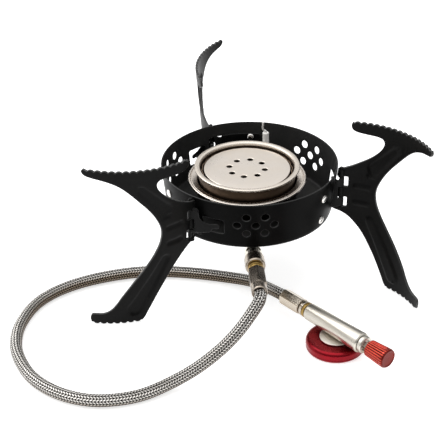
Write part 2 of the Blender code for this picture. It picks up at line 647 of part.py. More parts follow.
def hose():
    """The braided hose as one round tube along its route."""
    route = [Vector(point) + Vector((AXIS_X, AXIS_Y, 0.0)) for point in HOSE_ROUTE]
    points = smooth_curve(route, 3)
    curve = bpy.data.curves.new("hose", "CURVE")
    curve.dimensions = "3D"
    curve.bevel_depth = 0.5 * HOSE_DIAMETER * MM
    curve.bevel_resolution = 2
    curve.use_fill_caps = True
    spline = curve.splines.new("POLY")
    spline.points.add(len(points) - 1)
    for spot, point in zip(spline.points, points):
        spot.co = (*(point * MM), 1.0)
    spline.use_smooth = True
    body = bpy.data.objects.new("hose", curve)
    bpy.context.scene.collection.objects.link(body)
    curve.materials.append(material("hose_finish", *BRAID))


# ---------------------------------------------------------------- valve

def valve_line():
    x, y = VALVE_CENTRE
    return (x, y, VALVE_Z, VALVE_AZIMUTH)


def valve():
    """The valve and the nut and rings that join the hose to it, on one level line."""
    line = valve_line()
    lying("hose_nut_valve", hose_nut(-43.2, -27.9, 9.0), NICKEL, line, 20.0)
    tail = [(GAS_BORE, -27.6), (3.9, -27.6), (4.6, -27.0), (4.6, -24.7), (GAS_BORE, -24.7)]
    lying("hose_tail_valve", turned(tail, 20), NICKEL, line)
    ring = [(GAS_BORE, -24.4), (4.7, -24.4), (4.7, -22.5), (GAS_BORE, -22.5)]
    lying("seal_ring_valve", turned(ring, 20), BRASS, line)
    outside = [(0.0, -22.2), (4.6, -22.2), (5.0, -21.7), (6.1, 20.6), (5.7, 21.2)]
    inside = [(3.6, 21.2), (3.6, 14.0), (2.2, 14.0), (2.2, -6.0), (0.0, -6.0)]
    body = combine(turned(outside + inside, 28), drum(GAS_BORE, -24.0, -4.0, 12), "DIFFERENCE")
    body = combine(body, moved(drum(2.0, 0.0, 9.0, 12), LIE_DOWN), "DIFFERENCE")
    lying("valve_body", body, NICKEL, line)
    gland = [(1.95, 14.3), (3.3, 14.3), (3.3, 21.5), (5.2, 21.5), (5.2, 23.6), (4.7, 24.1), (1.95, 24.1)]
    lying("gland_nut", turned(gland, 24), NICKEL, line)
    spindle = [(0.0, -4.6), (0.3, -4.6), (1.5, -1.0), (1.5, 10.6), (1.65, 14.0), (1.65, 32.0),
               (0.0, 32.0)]
    lying("spindle", turned(spindle, 16), BRIGHT, line)
    seal = [(1.65, 11.2), (2.05, 11.2), (2.05, 12.6), (1.65, 12.6)]
    lying("spindle_seal", turned(seal, 16), RUBBER, line)


def knob():
    """A round grip with straight flutes, wider at its free end."""
    total = 2 * KNOB_FLUTES
    stations = ((26.9, 3.9, 0.0), (27.5, 4.5, FLUTE_DEPTH), (38.9, 5.8, FLUTE_DEPTH),
                (40.6, 5.8, 0.0), (41.5, 5.2, 0.0))
    bm = bmesh.new()
    rings = []
    for height, radius, depth in stations:
        ring = []
        for index in range(total):
            angle = 2.0 * math.pi * index / total
            swing = radius - depth * (index % 2)
            ring.append(bm.verts.new((swing * math.cos(angle), swing * math.sin(angle), height)))
        rings.append(ring)
    for first, second in zip(rings, rings[1:]):
        for index in range(total):
            following = (index + 1) % total
            bm.faces.new((first[index], first[following], second[following], second[index]))
    bm.faces.new(rings[0][::-1])
    bm.faces.new(rings[-1])
    bm = combine(bm, drum(1.95, 20.0, 32.4, 24), "DIFFERENCE")
    lying("knob", bm, RED, valve_line(), 40.0)


def canister_coupling():
    """The collar that screws onto a gas canister, upright under the valve body."""
    upright = shift(*VALVE_CENTRE, 0)
    boss = [(2.2, 6.8), (9.2, 6.8), (9.2, 7.6), (6.0, 7.9), (2.2, 7.9)]
    place(finish("valve_boss", to_mesh(turned(boss, 32)), NICKEL), upright)
    edge = COLLAR_RADIUS
    collar = [(8.3, 0.0), (edge - 1.2, 0.0), (edge - 0.3, 0.5), (edge, 1.6), (edge, 4.6),
              (edge - 0.5, 5.8), (edge - 1.6, COLLAR_HEIGHT), (8.3, COLLAR_HEIGHT)]
    place(finish("canister_collar", to_mesh(turned(collar, 48)), RED), upright)
    insert = [(SOCKET_RADIUS, 0.4), (8.0, 0.4), (8.0, 6.4), (2.0, 6.4), (2.0, 5.4),
              (SOCKET_RADIUS, 5.4)]
    place(finish("thread_insert", to_mesh(turned(insert, 20)), BRASS), upright)
    ring = [(2.9, 4.3), (4.9, 4.3), (4.9, 5.1), (2.9, 5.1)]
    place(finish("canister_seal", to_mesh(turned(ring, 24)), RUBBER), upright)
    pin = [(0.0, 4.0), (0.8, 4.0), (1.1, 4.4), (1.1, 6.4), (0.0, 6.4)]
    place(finish("opening_pin", to_mesh(turned(pin, 12)), BRASS), upright)


def main():
    for body in list(bpy.data.objects):
        bpy.data.objects.remove(body)
    bowl()
    for name, azimuth, direction in HINGES:
        hinge_bracket(name, azimuth)
        for label, z in zip(("upper", "lower"), RIVET_Z):
            rivet("rivet_" + label + "_" + name, azimuth + RIVET_OFFSET, z)
        hinge_pin(name, azimuth)
        leg(name, azimuth, direction)
    burner()
    flame_ring()
    burner_cap()
    electrode()
    gas_line()
    hose()
    valve()
    knob()
    canister_coupling()


main()
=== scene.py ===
"""Looks for the folding gas stove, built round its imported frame.

Shapes are worked out in millimetres about the bowl's axis and stored in metres.
"""

import math

import bmesh
import bpy
import numpy as np
from mathutils import Matrix, Vector
from mathutils.geometry import delaunay_2d_cdt


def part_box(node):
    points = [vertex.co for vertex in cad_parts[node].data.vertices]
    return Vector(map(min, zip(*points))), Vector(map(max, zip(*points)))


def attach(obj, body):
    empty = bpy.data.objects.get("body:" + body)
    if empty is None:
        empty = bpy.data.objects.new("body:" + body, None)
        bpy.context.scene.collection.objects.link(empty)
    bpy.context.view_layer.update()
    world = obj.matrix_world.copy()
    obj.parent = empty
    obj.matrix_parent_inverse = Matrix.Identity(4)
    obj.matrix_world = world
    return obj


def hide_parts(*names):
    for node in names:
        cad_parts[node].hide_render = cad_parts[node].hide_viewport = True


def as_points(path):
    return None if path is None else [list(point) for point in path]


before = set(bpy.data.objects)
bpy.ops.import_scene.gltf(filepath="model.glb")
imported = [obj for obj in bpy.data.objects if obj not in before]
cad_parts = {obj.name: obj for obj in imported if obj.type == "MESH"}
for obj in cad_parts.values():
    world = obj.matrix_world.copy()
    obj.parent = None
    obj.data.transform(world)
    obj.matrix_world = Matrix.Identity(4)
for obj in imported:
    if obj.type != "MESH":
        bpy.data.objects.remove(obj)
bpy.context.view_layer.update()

MM = 0.001
PI = math.pi


def middle(node):
    low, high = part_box(node)
    return (low + high) / (2 * MM)


# Sizes are in millimetres and azimuths in degrees about the bowl's axis
AXIS = Vector((middle("bowl").x, middle("bowl").y, 0.0))
RIM_RADIUS = (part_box("bowl")[1].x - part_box("bowl")[0].x) / (2 * MM)
RIM_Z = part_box("bowl")[1].z / MM
BOWL_FLOOR_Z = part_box("bowl")[0].z / MM
WALL_TAPER = math.radians(6.5)
SHEET = 0.8
STRAP_SHEET = 0.9
LEG_SHEET = 1.6
BURNER = middle("burner_cup") - AXIS
VALVE = middle("canister_collar") - AXIS
VALVE_AZIMUTH = -48.0
VALVE_Z = middle("spindle").z
GAS_Z = middle("hose_nut_jet").z
GAS_AZIMUTH = -85.2
PIN_CIRCLE = 56.0
# Each hinge has its azimuth on the bowl and the direction in which its leg points
HINGES = (("right", -6.5, -7.8), ("left", -128.0, -127.4), ("back", 116.3, 116.3))
HINGE_Z = 58.0
LEG_KNUCKLES_Z = ((68.4, 73.6), (55.0, 62.0), (46.4, 48.6))
RIVET_OFFSET = -27.0
RIVETS_Z = (("upper", 65.8), ("lower", 50.8))
# The openings in the wall at each hinge have two angles from the hinge and two heights
WALL_OPENINGS = ((6.5, 21.3, 53.6, 63.4), (-9.5, 3.5, 48.2, 67.4))
HOLE_FIELDS = (-86.0, 42.0, 159.5)
HOLE_Z = 60.9
HOLE_RADIUS = 2.4
HOLE_PITCH = 11.0
HOLE_ROW_PITCH = 5.7
CAP_RADIUS = 26.4
CAP_SHEET = 0.9
CAP_Z = 70.35
PORT_COUNT = 8
PORT_CIRCLE = 11.0
PORT_RADIUS = 1.8
KNOB_FLUTES = 24
KNOB_FACE = 40.9
LIE_DOWN = Matrix.Rotation(PI / 2, 4, "Y")

# Points the hose runs through, in millimetres about the bowl's axis
HOSE_ROUTE = (
    (5.9, -88.2, 37.4), (6.1, -90.8, 37.3), (4.9, -95.2, 36.2), (0.4, -101.3, 31.9), (-6.8, -107.8, 24.8),
    (-16.5, -113.8, 17.0), (-29.4, -120.5, 9.6), (-43.3, -127.9, 5.2), (-58.4, -136.8, 3.8),
    (-73.7, -141.5, 3.7), (-89.6, -141.5, 3.7), (-106.2, -135.0, 3.7), (-120.6, -122.8, 3.7),
    (-130.1, -107.0, 3.7), (-135.3, -90.6, 3.7), (-135.7, -71.6, 3.7), (-130.2, -51.3, 3.7),
    (-119.9, -36.7, 3.7), (-105.1, -25.6, 3.7), (-86.6, -17.6, 3.7), (-67.6, -13.2, 3.7),
    (-48.7, -13.0, 3.7), (-30.4, -15.4, 3.7), (-12.2, -20.2, 4.1), (0.4, -27.0, 6.0),
    (9.6, -38.9, 9.8), (16.6, -50.2, 13.3), (20.7, -54.7, 13.6),
)
HOSE_DIAMETER = 7.2
BRAID_LEAD = 0.024
BRAID_ROWS = 14


def linked(name, data):
    """Makes an object and puts it into the scene."""
    made = bpy.data.objects.new(name, data)
    bpy.context.scene.collection.objects.link(made)
    return made


# ---------------------------------------------------------------- camera

def make_camera():
    back, height, tilt = 736.1, 473.7, 58.97
    data = bpy.data.cameras.new("camera")
    data.sensor_width = 36.0
    data.lens = 110.35
    data.shift_x = -0.0571
    camera = linked("camera", data)
    camera.location = (AXIS + Vector((0.0, -back, height))) * MM
    camera.rotation_euler = (math.radians(tilt), 0.0, 0.0)
    bpy.context.scene.camera = camera


make_camera()


# ---------------------------------------------------------------- materials

def scaled(colour, share):
    return tuple(min(1.0, share * c) for c in colour)


class Nodes:
    """Adds shader nodes to a tree. Their inputs are values or the outputs of other nodes."""

    def __init__(self, tree):
        self.tree = tree

    def add(self, kind, inputs=(), **settings):
        node = self.tree.nodes.new(kind)
        for key, value in settings.items():
            setattr(node, key, value)
        for key, value in dict(inputs).items():
            if isinstance(value, bpy.types.NodeSocket):
                self.tree.links.new(value, node.inputs[key])
            else:
                node.inputs[key].default_value = value
        return node

    def math(self, operation, a, b=0.0, c=0.0):
        return self.add("ShaderNodeMath", {0: a, 1: b, 2: c}, operation=operation).outputs[0]

    def plus(self, a, b):
        return self.math("ADD", a, b)

    def minus(self, a, b):
        return self.math("SUBTRACT", a, b)

    def times(self, a, b):
        return self.math("MULTIPLY", a, b)

    def span(self, value, low, high, to_low, to_high, **settings):
        return self.add("ShaderNodeMapRange", {"Value": value, "From Min": low, "From Max": high,
                                               "To Min": to_low, "To Max": to_high}, **settings).outputs[0]


class Graph(Nodes):
    """The nodes of a new material with a Principled shader."""

    def __init__(self, name, **sockets):
        self.material = bpy.data.materials.new(name)
        self.material.use_nodes = True
        super().__init__(self.material.node_tree)
        self.shader = self.tree.nodes["Principled BSDF"]
        self.place = self.add("ShaderNodeTexCoord").outputs["Object"]
        for key, value in sockets.items():
            self.shader.inputs[key.replace("_", " ")].default_value = value

    def polar(self):
        """X, Y and Z in the piece's own frame, and the distance from its Z axis."""
        x, y, z = self.add("ShaderNodeSeparateXYZ", {"Vector": self.place}).outputs
        return x, y, z, self.math("SQRT", self.plus(self.times(x, x), self.times(y, y)))

    def noise(self, scale, detail=3.0, roughness=0.5):
        return self.add("ShaderNodeTexNoise", {"Vector": self.place, "Scale": scale, "Detail": detail,
                                               "Roughness": roughness}).outputs["Fac"]

    def lines(self, run, detail):
        """Fine uneven lines across a run."""
        return self.add("ShaderNodeTexNoise", {"W": run, "Scale": 1.0, "Detail": detail},
                        noise_dimensions="1D").outputs["Fac"]

    def spread(self, noise, low, high):
        """Stretches the middle of a noise over a range."""
        return self.span(noise, 0.3, 0.7, low, high)

    def edges(self, low, high, most):
        """Rises to most on edges that stand out."""
        return self.span(self.add("ShaderNodeNewGeometry").outputs["Pointiness"], low, high, 0.0, most)

    def uneven(self, rough, cloud, speck, less=0.03, more=0.05, fine=0.03):
        """A roughness that varies with a coarse and a fine noise."""
        return self.plus(self.spread(cloud, rough - less, rough + more), self.spread(speck, -0.02, fine))

    def mix(self, factor, a, b):
        a, b = ((*colour, 1.0) if isinstance(colour, tuple) else colour for colour in (a, b))
        return self.add("ShaderNodeMix", {0: factor, 6: a, 7: b}, data_type="RGBA").outputs[2]

    def tinted(self, colour, tint):
        return self.add("ShaderNodeVectorMath", {0: colour, 1: tint}, operation="MULTIPLY").outputs[0]

    def shade_underside(self, colour, x, radius):
        """Paints shade on the lower side of a part that lies with its X axis pointing down."""
        low = self.span(self.math("DIVIDE", x, radius), 0.0, 0.8, 0.0, 1.0)
        return self.mix(low, colour, self.tinted(colour, (0.6, 0.53, 0.46)))

    def bump(self, height, distance, strength=1.0):
        return self.add("ShaderNodeBump", {"Height": height, "Distance": distance,
                                           "Strength": strength}).outputs[0]

    def drive(self, **sources):
        for key, value in sources.items():
            self.tree.links.new(value, self.shader.inputs[key.replace("_", " ")])
        return self.material


def coated_black(name, dark, light, rough, specular):
    """Satin black stove enamel with a fine skin and a little wear on its edges."""
    g = Graph(name, Specular_IOR_Level=specular)
    cloud = g.noise(90.0, 4.0, 0.6)
    skin = g.noise(1700.0, 2.0)
    grime = g.noise(340.0, 3.0)
    colour = g.mix(g.spread(cloud, 0.0, 1.0), (dark,) * 3, (light, light * 0.98, light * 0.93))
    edge = g.times(g.edges(0.56, 0.66, 1.0), g.span(grime, 0.45, 0.7, 0.0, 1.0))
    colour = g.mix(edge, colour, (0.055, 0.053, 0.05))
    return g.drive(Base_Color=colour, Roughness=g.uneven(rough, cloud, grime, 0.04),
                   Normal=g.bump(skin, 0.00003, 0.35))


def turned_metal(name, colour, rough, lines=2600.0, stain=(0.8, 0.72, 0.6), stain_share=0.25,
                 relief=0.8, shade_below=None, lies=False):
    """Metal with fine turning marks round its own Z axis.

    Below a given height it is painted darker in a given colour: painted shade and a dark
    reflection. A part that lies on its side gets painted shade underneath."""
    g = Graph(name, Metallic=1.0)
    x, _, z, radius = g.polar()
    marks = g.lines(g.times(g.plus(radius, g.times(z, 0.73)), lines), 4.0)
    cloud = g.noise(70.0, 4.0, 0.6)
    speck = g.noise(900.0, 2.0)
    stained = tuple(c * s for c, s in zip(colour, stain))
    base = g.mix(g.span(cloud, 0.42, 0.75, 0.0, stain_share), colour, stained)
    base = g.mix(g.span(marks, 0.35, 0.75, 0.0, 0.16), base, scaled(colour, 0.72))
    rough_map = g.uneven(rough, cloud, speck)
    # Painted shade on the lower side
    if lies:
        base = g.shade_underside(base, x, radius)
    # Painted shade and dark reflection below a height, with a wavy border
    if shade_below is not None:
        level, tint = shade_below
        wavy = g.plus(z, g.times(g.minus(cloud, 0.5), 1.2 * MM))
        below = g.span(wavy, (level - 0.35) * MM, (level + 0.25) * MM, 1.0, 0.0)
        base = g.mix(below, base, g.mix(cloud, tint, scaled(tint, 0.6)))
        rough_map = g.math("MULTIPLY_ADD", below, 0.25, rough_map)
    return g.drive(Base_Color=base, Roughness=rough_map, Normal=g.bump(marks, 0.00001, relief))


def plated(name, colour, rough, lies=False):
    """Plain plated or polished metal with faint handling marks."""
    g = Graph(name, Metallic=1.0)
    cloud = g.noise(160.0, 4.0, 0.6)
    speck = g.noise(1400.0, 3.0)
    base = g.mix(g.span(cloud, 0.35, 0.7, 0.0, 0.35), colour, scaled(colour, 0.78))
    base = g.mix(g.edges(0.54, 0.62, 0.5), base, scaled(colour, 1.25))
    # Painted shade on the lower side
    if lies:
        x, _, _, radius = g.polar()
        base = g.shade_underside(base, x, radius)
    return g.drive(Base_Color=base, Roughness=g.uneven(rough, cloud, speck, 0.04, 0.06),
                   Normal=g.bump(speck, 0.00001, 0.3))


def anodised(name, colour, deep, rough, flutes=0, face=None):
    """Dyed anodised aluminium: a metal whose dye is a little uneven.

    flutes is the number of grooves round the Z axis, whose hollows get painted shade and whose
    crests a painted highlight, and face a height in millimetres above which the colour is darker."""
    g = Graph(name, Metallic=0.85, Coat_Weight=0.08, Coat_Roughness=0.2)
    x, y, z, radius = g.polar()
    marks = g.lines(g.times(radius, 3200.0), 3.0)
    cloud = g.noise(120.0, 4.0, 0.6)
    speck = g.noise(1500.0, 2.0)
    base = g.mix(g.span(cloud, 0.35, 0.7, 0.0, 1.0), colour, deep)
    # A painted highlight: lighter red on edges that stand out
    base = g.mix(g.edges(0.55, 0.65, 0.35), base, (0.85, 0.22, 0.18))
    if flutes:
        # Painted shade in the flutes' hollows and a painted highlight on their crests
        turn = g.times(g.math("ARCTAN2", y, x), 0.5 * flutes)
        crest = g.math("ABSOLUTE", g.math("COSINE", turn))
        base = g.mix(g.span(crest, 0.15, 0.75, 1.0, 0.0), base, scaled(deep, 0.1))
        base = g.mix(g.span(crest, 0.8, 1.0, 0.0, 0.5), base, (0.75, 0.12, 0.07))
        high = g.span(z, (face - 0.1) * MM, face * MM, 0.0, 1.0)
        base = g.mix(high, base, g.mix(cloud, scaled(colour, 0.5), scaled(deep, 0.3)))
    return g.drive(Base_Color=base, Roughness=g.uneven(rough, cloud, speck, fine=0.02),
                   Normal=g.bump(marks, 0.000008, 0.6))


def braided_steel(name, lead, rows):
    """Woven stainless wire: slanting strands in rows along the hose, each of a few wires.

    The first coordinate runs once round the hose, and the second along it in metres."""
    g = Graph(name, Metallic=1.0)
    run = g.add("ShaderNodeUVMap", uv_map="run").outputs[0]
    around, along, _ = g.add("ShaderNodeSeparateXYZ", {"Vector": run}).outputs
    turn = g.times(around, float(rows))
    row = g.math("FLOOR", turn)
    way = g.minus(g.times(g.math("FRACT", g.times(row, 0.5)), 4.0), 1.0)
    offset = g.minus(g.math("FRACT", turn), 0.5)
    slant = g.plus(g.times(along, rows / lead), g.times(offset, way))
    across = g.minus(g.math("FRACT", slant), 0.5)

    def hump(value, power):
        return g.minus(1.0, g.math("POWER", g.math("ABSOLUTE", g.times(value, 2.0)), power))

    strand = g.times(hump(across, 1.9), hump(offset, 2.6))
    wire = g.math("ABSOLUTE", g.math("SINE", g.times(across, 4.0 * PI)))
    cloud = g.noise(60.0, 3.0)
    base = g.mix(g.spread(cloud, 0.0, 1.0), (0.97, 0.94, 0.90), (0.85, 0.82, 0.77))
    # Painted shade: a near-black colour in the gaps between strands and between rows
    base = g.mix(g.span(strand, 0.35, 0.85, 1.0, 0.0), base, (0.012, 0.009, 0.006))
    # Painted shade: the lower half of the hose is darker and browner, with a ragged border
    facing = g.plus(g.math("SINE", g.times(around, 2.0 * PI)), g.times(g.minus(cloud, 0.5), 0.5))
    lower_half_shade = g.span(facing, -0.05, 0.6, 1.0, 0.0)
    base = g.mix(lower_half_shade, base, g.tinted(base, (0.34, 0.28, 0.22)))
    return g.drive(Base_Color=base, Roughness=g.span(strand, 0.0, 1.0, 0.5, 0.24),
                   Normal=g.bump(g.plus(strand, g.times(wire, 0.18)), 0.0004))


def even_body(name, light, dark, smooth, coarse):
    """Ceramic or rubber, with faint clouds and a fine skin."""
    g = Graph(name, Specular_IOR_Level=0.5)
    cloud = g.noise(220.0, 3.0)
    return g.drive(Base_Color=g.mix(g.span(cloud, 0.35, 0.7, 0.0, 1.0), light, dark),
                   Roughness=g.spread(cloud, smooth, coarse),
                   Normal=g.bump(g.noise(900.0), 0.00002, 0.4))


BOWL_BLACK = coated_black("bowl_enamel", 0.0015, 0.0025, 0.34, 0.035)
# Lighter, glossier enamel on the bowl's edges: a painted highlight along the rim, the holes and the
# openings
BOWL_EDGE_SHEEN = coated_black("bowl_edge_sheen", 0.006, 0.014, 0.3, 0.3)
# Lighter enamel for the inside of the bowl: painted sheen on the inner wall
BOWL_INSIDE_SHEEN = coated_black("bowl_inside_sheen", 0.016, 0.024, 0.5, 0.15)
LEG_BLACK = coated_black("leg_enamel", 0.0028, 0.0045, 0.4, 0.08)
# Lighter, glossier enamel on the legs' edges: a painted highlight along them, and worn paint on the teeth
LEG_EDGE_WEAR_SHEEN = coated_black("leg_edge_wear_sheen", 0.014, 0.024, 0.3, 0.5)
STRAP_BLACK = coated_black("strap_enamel", 0.0022, 0.0035, 0.4, 0.12)
# Lighter enamel on the straps' edges: a painted highlight along them
STRAP_EDGE_SHEEN = coated_black("strap_edge_sheen", 0.004, 0.008, 0.3, 0.25)
CAP_STEEL = turned_metal("cap_steel", (0.80, 0.735, 0.665), 0.30, relief=0.3)
HEATED = {"lines": 2200.0, "stain": (0.85, 0.78, 0.68), "stain_share": 0.12, "relief": 0.3}
# The cup's side below its lip gets a painted dark reflection, and the tray under the cup painted shade
CUP_STEEL = turned_metal("cup_steel", (0.78, 0.71, 0.63), 0.26,
                         shade_below=(71.2, (0.085, 0.06, 0.042)), **HEATED)
PAN_STEEL = turned_metal("pan_steel", (0.80, 0.73, 0.66), 0.26,
                         shade_below=(62.6, (0.03, 0.024, 0.019)), **HEATED)
DARK_STEEL = turned_metal("heated_steel", (0.30, 0.22, 0.16), 0.4, 2200.0)
LINE_NICKEL = turned_metal("line_nickel", (0.62, 0.58, 0.50), 0.22, 3000.0)
# The valve body gets painted shade underneath
BODY_NICKEL = turned_metal("body_nickel", (0.60, 0.57, 0.51), 0.3, 3000.0, lies=True)
BOSS_NICKEL = turned_metal("boss_nickel", (0.86, 0.83, 0.77), 0.5, 3000.0)
# A darker copy of the nickel for the jet holder: painted shade and dark reflection under the bowl
SHADED_HOLDER_NICKEL = turned_metal("shaded_holder_nickel", (0.36, 0.31, 0.25), 0.26, 3000.0)
# The valve's nut gets painted shade underneath
NUT_NICKEL = plated("nut_nickel", (0.56, 0.50, 0.42), 0.26, lies=True)
# A darker copy of the nickel for the jet's nut and ferrule: painted shade under the bowl
SHADED_JET_NICKEL = plated("shaded_jet_nickel", (0.36, 0.31, 0.26), 0.26)
BRIGHT_STEEL = plated("bright_steel", (0.82, 0.80, 0.77), 0.18)
NEEDLE_STEEL = plated("needle_steel", (0.96, 0.955, 0.94), 0.45)
BRASS = plated("plain_brass", (0.38, 0.25, 0.08), 0.4)
KNOB_RED = anodised("knob_red", (0.42, 0.03, 0.016), (0.28, 0.014, 0.009), 0.26,
                    KNOB_FLUTES, KNOB_FACE)
COLLAR_RED = anodised("collar_red", (0.27, 0.002, 0.009), (0.20, 0.0015, 0.007), 0.26)
CERAMIC = even_body("glazed_ceramic", (0.92, 0.91, 0.88), (0.82, 0.80, 0.76), 0.22, 0.4)
RUBBER = even_body("nitrile_rubber", (0.035, 0.034, 0.033), (0.014, 0.014, 0.015), 0.6, 0.8)
BRAID = braided_steel("woven_steel", BRAID_LEAD, BRAID_ROWS)


# ---------------------------------------------------------------- mesh helpers

def piece(name, mesh, materials, matrix, node, body="stove", crease=50.0):
    """Makes an object that stands for a node, from a mesh in millimetres about the bowl's axis.

    Edges sharper than crease, in degrees, stay sharp. A sheet has no crease: it is smooth."""
    mesh.transform(Matrix.Scale(MM, 4))
    for material in materials:
        mesh.materials.append(material)
    mesh.shade_smooth()
    made = linked(name, mesh)
    location, rotation, _ = (Matrix.Translation(AXIS) @ matrix).decompose()
    made.location = location * MM
    made.rotation_mode = "QUATERNION"
    made.rotation_quaternion = rotation
    if crease is not None:
        mesh.set_sharp_from_angle(angle=math.radians(crease))
        normals = made.modifiers.new("normals", "WEIGHTED_NORMAL")
        normals.keep_sharp = True
        normals.weight = 100
    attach(made, body)
    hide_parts(node)


def spun(name, profile, material, matrix, node, segments=72, body="stove", swing=None):
    """Makes a turned piece from its profile of (radius, height)."""
    piece(name, lathe(profile, segments, swing), [material], matrix, node, body)


def mesh_of(points, faces, finishes=None):
    """Makes a mesh and joins points that coincide. finishes has the number of each face's material."""
    weld = 0.0008
    mesh = bpy.data.meshes.new("shape")
    mesh.from_pydata([tuple(p) for p in points], [], faces)
    if finishes is not None:
        mesh.polygons.foreach_set("material_index", finishes)
    bm = bmesh.new()
    bm.from_mesh(mesh)
    bmesh.ops.remove_doubles(bm, verts=bm.verts, dist=weld)
    bmesh.ops.dissolve_degenerate(bm, edges=bm.edges, dist=weld)
    bmesh.ops.recalc_face_normals(bm, faces=bm.faces)
    bm.to_mesh(mesh)
    bm.free()
    return mesh


def joined(*meshes):
    bm = bmesh.new()
    for mesh in meshes:
        bm.from_mesh(mesh)
        bpy.data.meshes.remove(mesh)
    total = bpy.data.meshes.new("shape")
    bm.to_mesh(total)
    bm.free()
    return total


def dense(points, gap, closed=True, whole=round):
    """Adds points along straight stretches, so that they can bend.

    whole makes a whole number of the gaps that fit in a stretch: the nearest, or with int the
    one below.
    """
    ends = points[1:] + points[:1] if closed else points[1:]
    out = []
    for a, b in zip(points, ends):
        count = max(1, whole((Vector(b) - Vector(a)).length / gap))
        out += [tuple(Vector(a).lerp(Vector(b), k / count)) for k in range(count)]
    return out


def circle(radius, count, x=0.0, y=0.0):
    """Points round a circle, counter-clockwise."""
    return [(x + radius * math.cos(2 * PI * k / count), y + radius * math.sin(2 * PI * k / count))
            for k in range(count)]


def rounded(corners, steps=4):
    """Rounds the corners of a closed outline of (x, y, radius) points."""
    out = []
    count = len(corners)
    for index, (x, y, *radius) in enumerate(corners):
        spot = Vector((x, y))
        before = Vector(corners[index - 1][:2]) - spot
        after = Vector(corners[(index + 1) % count][:2]) - spot
        u, w = before.normalized(), after.normalized()
        half = 0.5 * math.acos(max(-1.0, min(1.0, u.dot(w))))
        if not radius or half > 0.49 * PI:
            out.append(spot)
            continue
        reach = min(radius[0] / math.tan(half), 0.49 * before.length, 0.49 * after.length)
        size = reach * math.tan(half)
        hub = spot + (u + w).normalized() * (size / math.sin(half))
        first, last = spot + u * reach - hub, spot + w * reach - hub
        start = math.atan2(first.y, first.x)
        turn = (math.atan2(last.y, last.x) - start + PI) % (2 * PI) - PI
        for step in range(steps + 1):
            angle = start + turn * step / steps
            out.append(hub + Vector((math.cos(angle), math.sin(angle))) * size)
    return out


def rings_mesh(rings, closed=True):
    """Joins rings of the same number of points, the last to the first if closed."""
    count = len(rings[0])
    points = [p for ring in rings for p in ring]
    faces = []
    pairs = len(rings) if closed else len(rings) - 1
    for k in range(pairs):
        a, b = k * count, ((k + 1) % len(rings)) * count
        for i in range(count):
            j = (i + 1) % count
            faces.append((a + i, a + j, b + j, b + i))
    if not closed:
        faces.append(tuple(range(count))[::-1])
        faces.append(tuple((len(rings) - 1) * count + i for i in range(count)))
    return mesh_of(points, faces)


def ways_along(path):
    """The direction of a path at each of its points."""
    return [(b - a).normalized() for a, b in zip(path[:1] + path, path[1:] + path[-1:])]


def rod(path, radius, around):
    """A round rod along a path in the plane y = 0, with its ends a little rounded."""
    rings = []
    last = len(path) - 1
    for index, (spot, way) in enumerate(zip(path, ways_along(path))):
        side = Vector((way.z, 0.0, -way.x))
        size = radius * (0.7 if index in (0, last) else 1.0)
        rings.append([spot + (side * math.cos(2 * PI * k / around)
                              + Vector((0, 1, 0)) * math.sin(2 * PI * k / around)) * size
                      for k in range(around)])
        if index == last - 1:
            tip = spot.lerp(path[last], 0.88)
            rings.append([p - spot + tip for p in rings[-1]])
    return rings_mesh(rings, closed=False)


def lathe(corners, segments, swing=None):
    """Spins a rounded closed profile of (radius, height) about Z. swing may change the radius."""
    rings = []
    for radius, height in rounded(corners):
        ring = []
        for index in range(segments):
            angle = 2 * PI * index / segments
            r = radius if swing is None or radius < 1e-6 else swing(radius, height, angle)
            ring.append((r * math.cos(angle), r * math.sin(angle), height))
        rings.append(ring)
    return rings_mesh(rings)


def inside(points, outline):
    """Which of the points lie inside a closed outline."""
    x, y = points[:, 0], points[:, 1]
    found = np.zeros(len(points), bool)
    previous = outline[-1]
    for current in outline:
        (x0, y0), (x1, y1) = previous, current
        if y0 != y1:
            crossing = ((y0 > y) != (y1 > y)) & (x < (x1 - x0) * (y - y0) / (y1 - y0) + x0)
            found ^= crossing
        previous = current
    return found


def on_metal(points, loops):
    """Which of the points lie inside the first loop and outside the rest."""
    found = inside(points, loops[0])
    for hole in loops[1:]:
        found &= ~inside(points, hole)
    return found


def inset(loop, distance):
    """Moves a closed loop to its left by a distance."""
    ahead, behind = np.roll(loop, -1, 0) - loop, loop - np.roll(loop, 1, 0)
    ahead /= np.linalg.norm(ahead, axis=1)[:, None]
    behind /= np.linalg.norm(behind, axis=1)[:, None]
    way = ahead + behind
    way /= np.linalg.norm(way, axis=1)[:, None]
    left = np.stack([-way[:, 1], way[:, 0]], 1)
    stretch = np.clip((way * ahead).sum(1), 0.55, 1.0)
    return loop + left * (distance / stretch)[:, None]


def unpressed(points):
    return np.zeros(len(points))


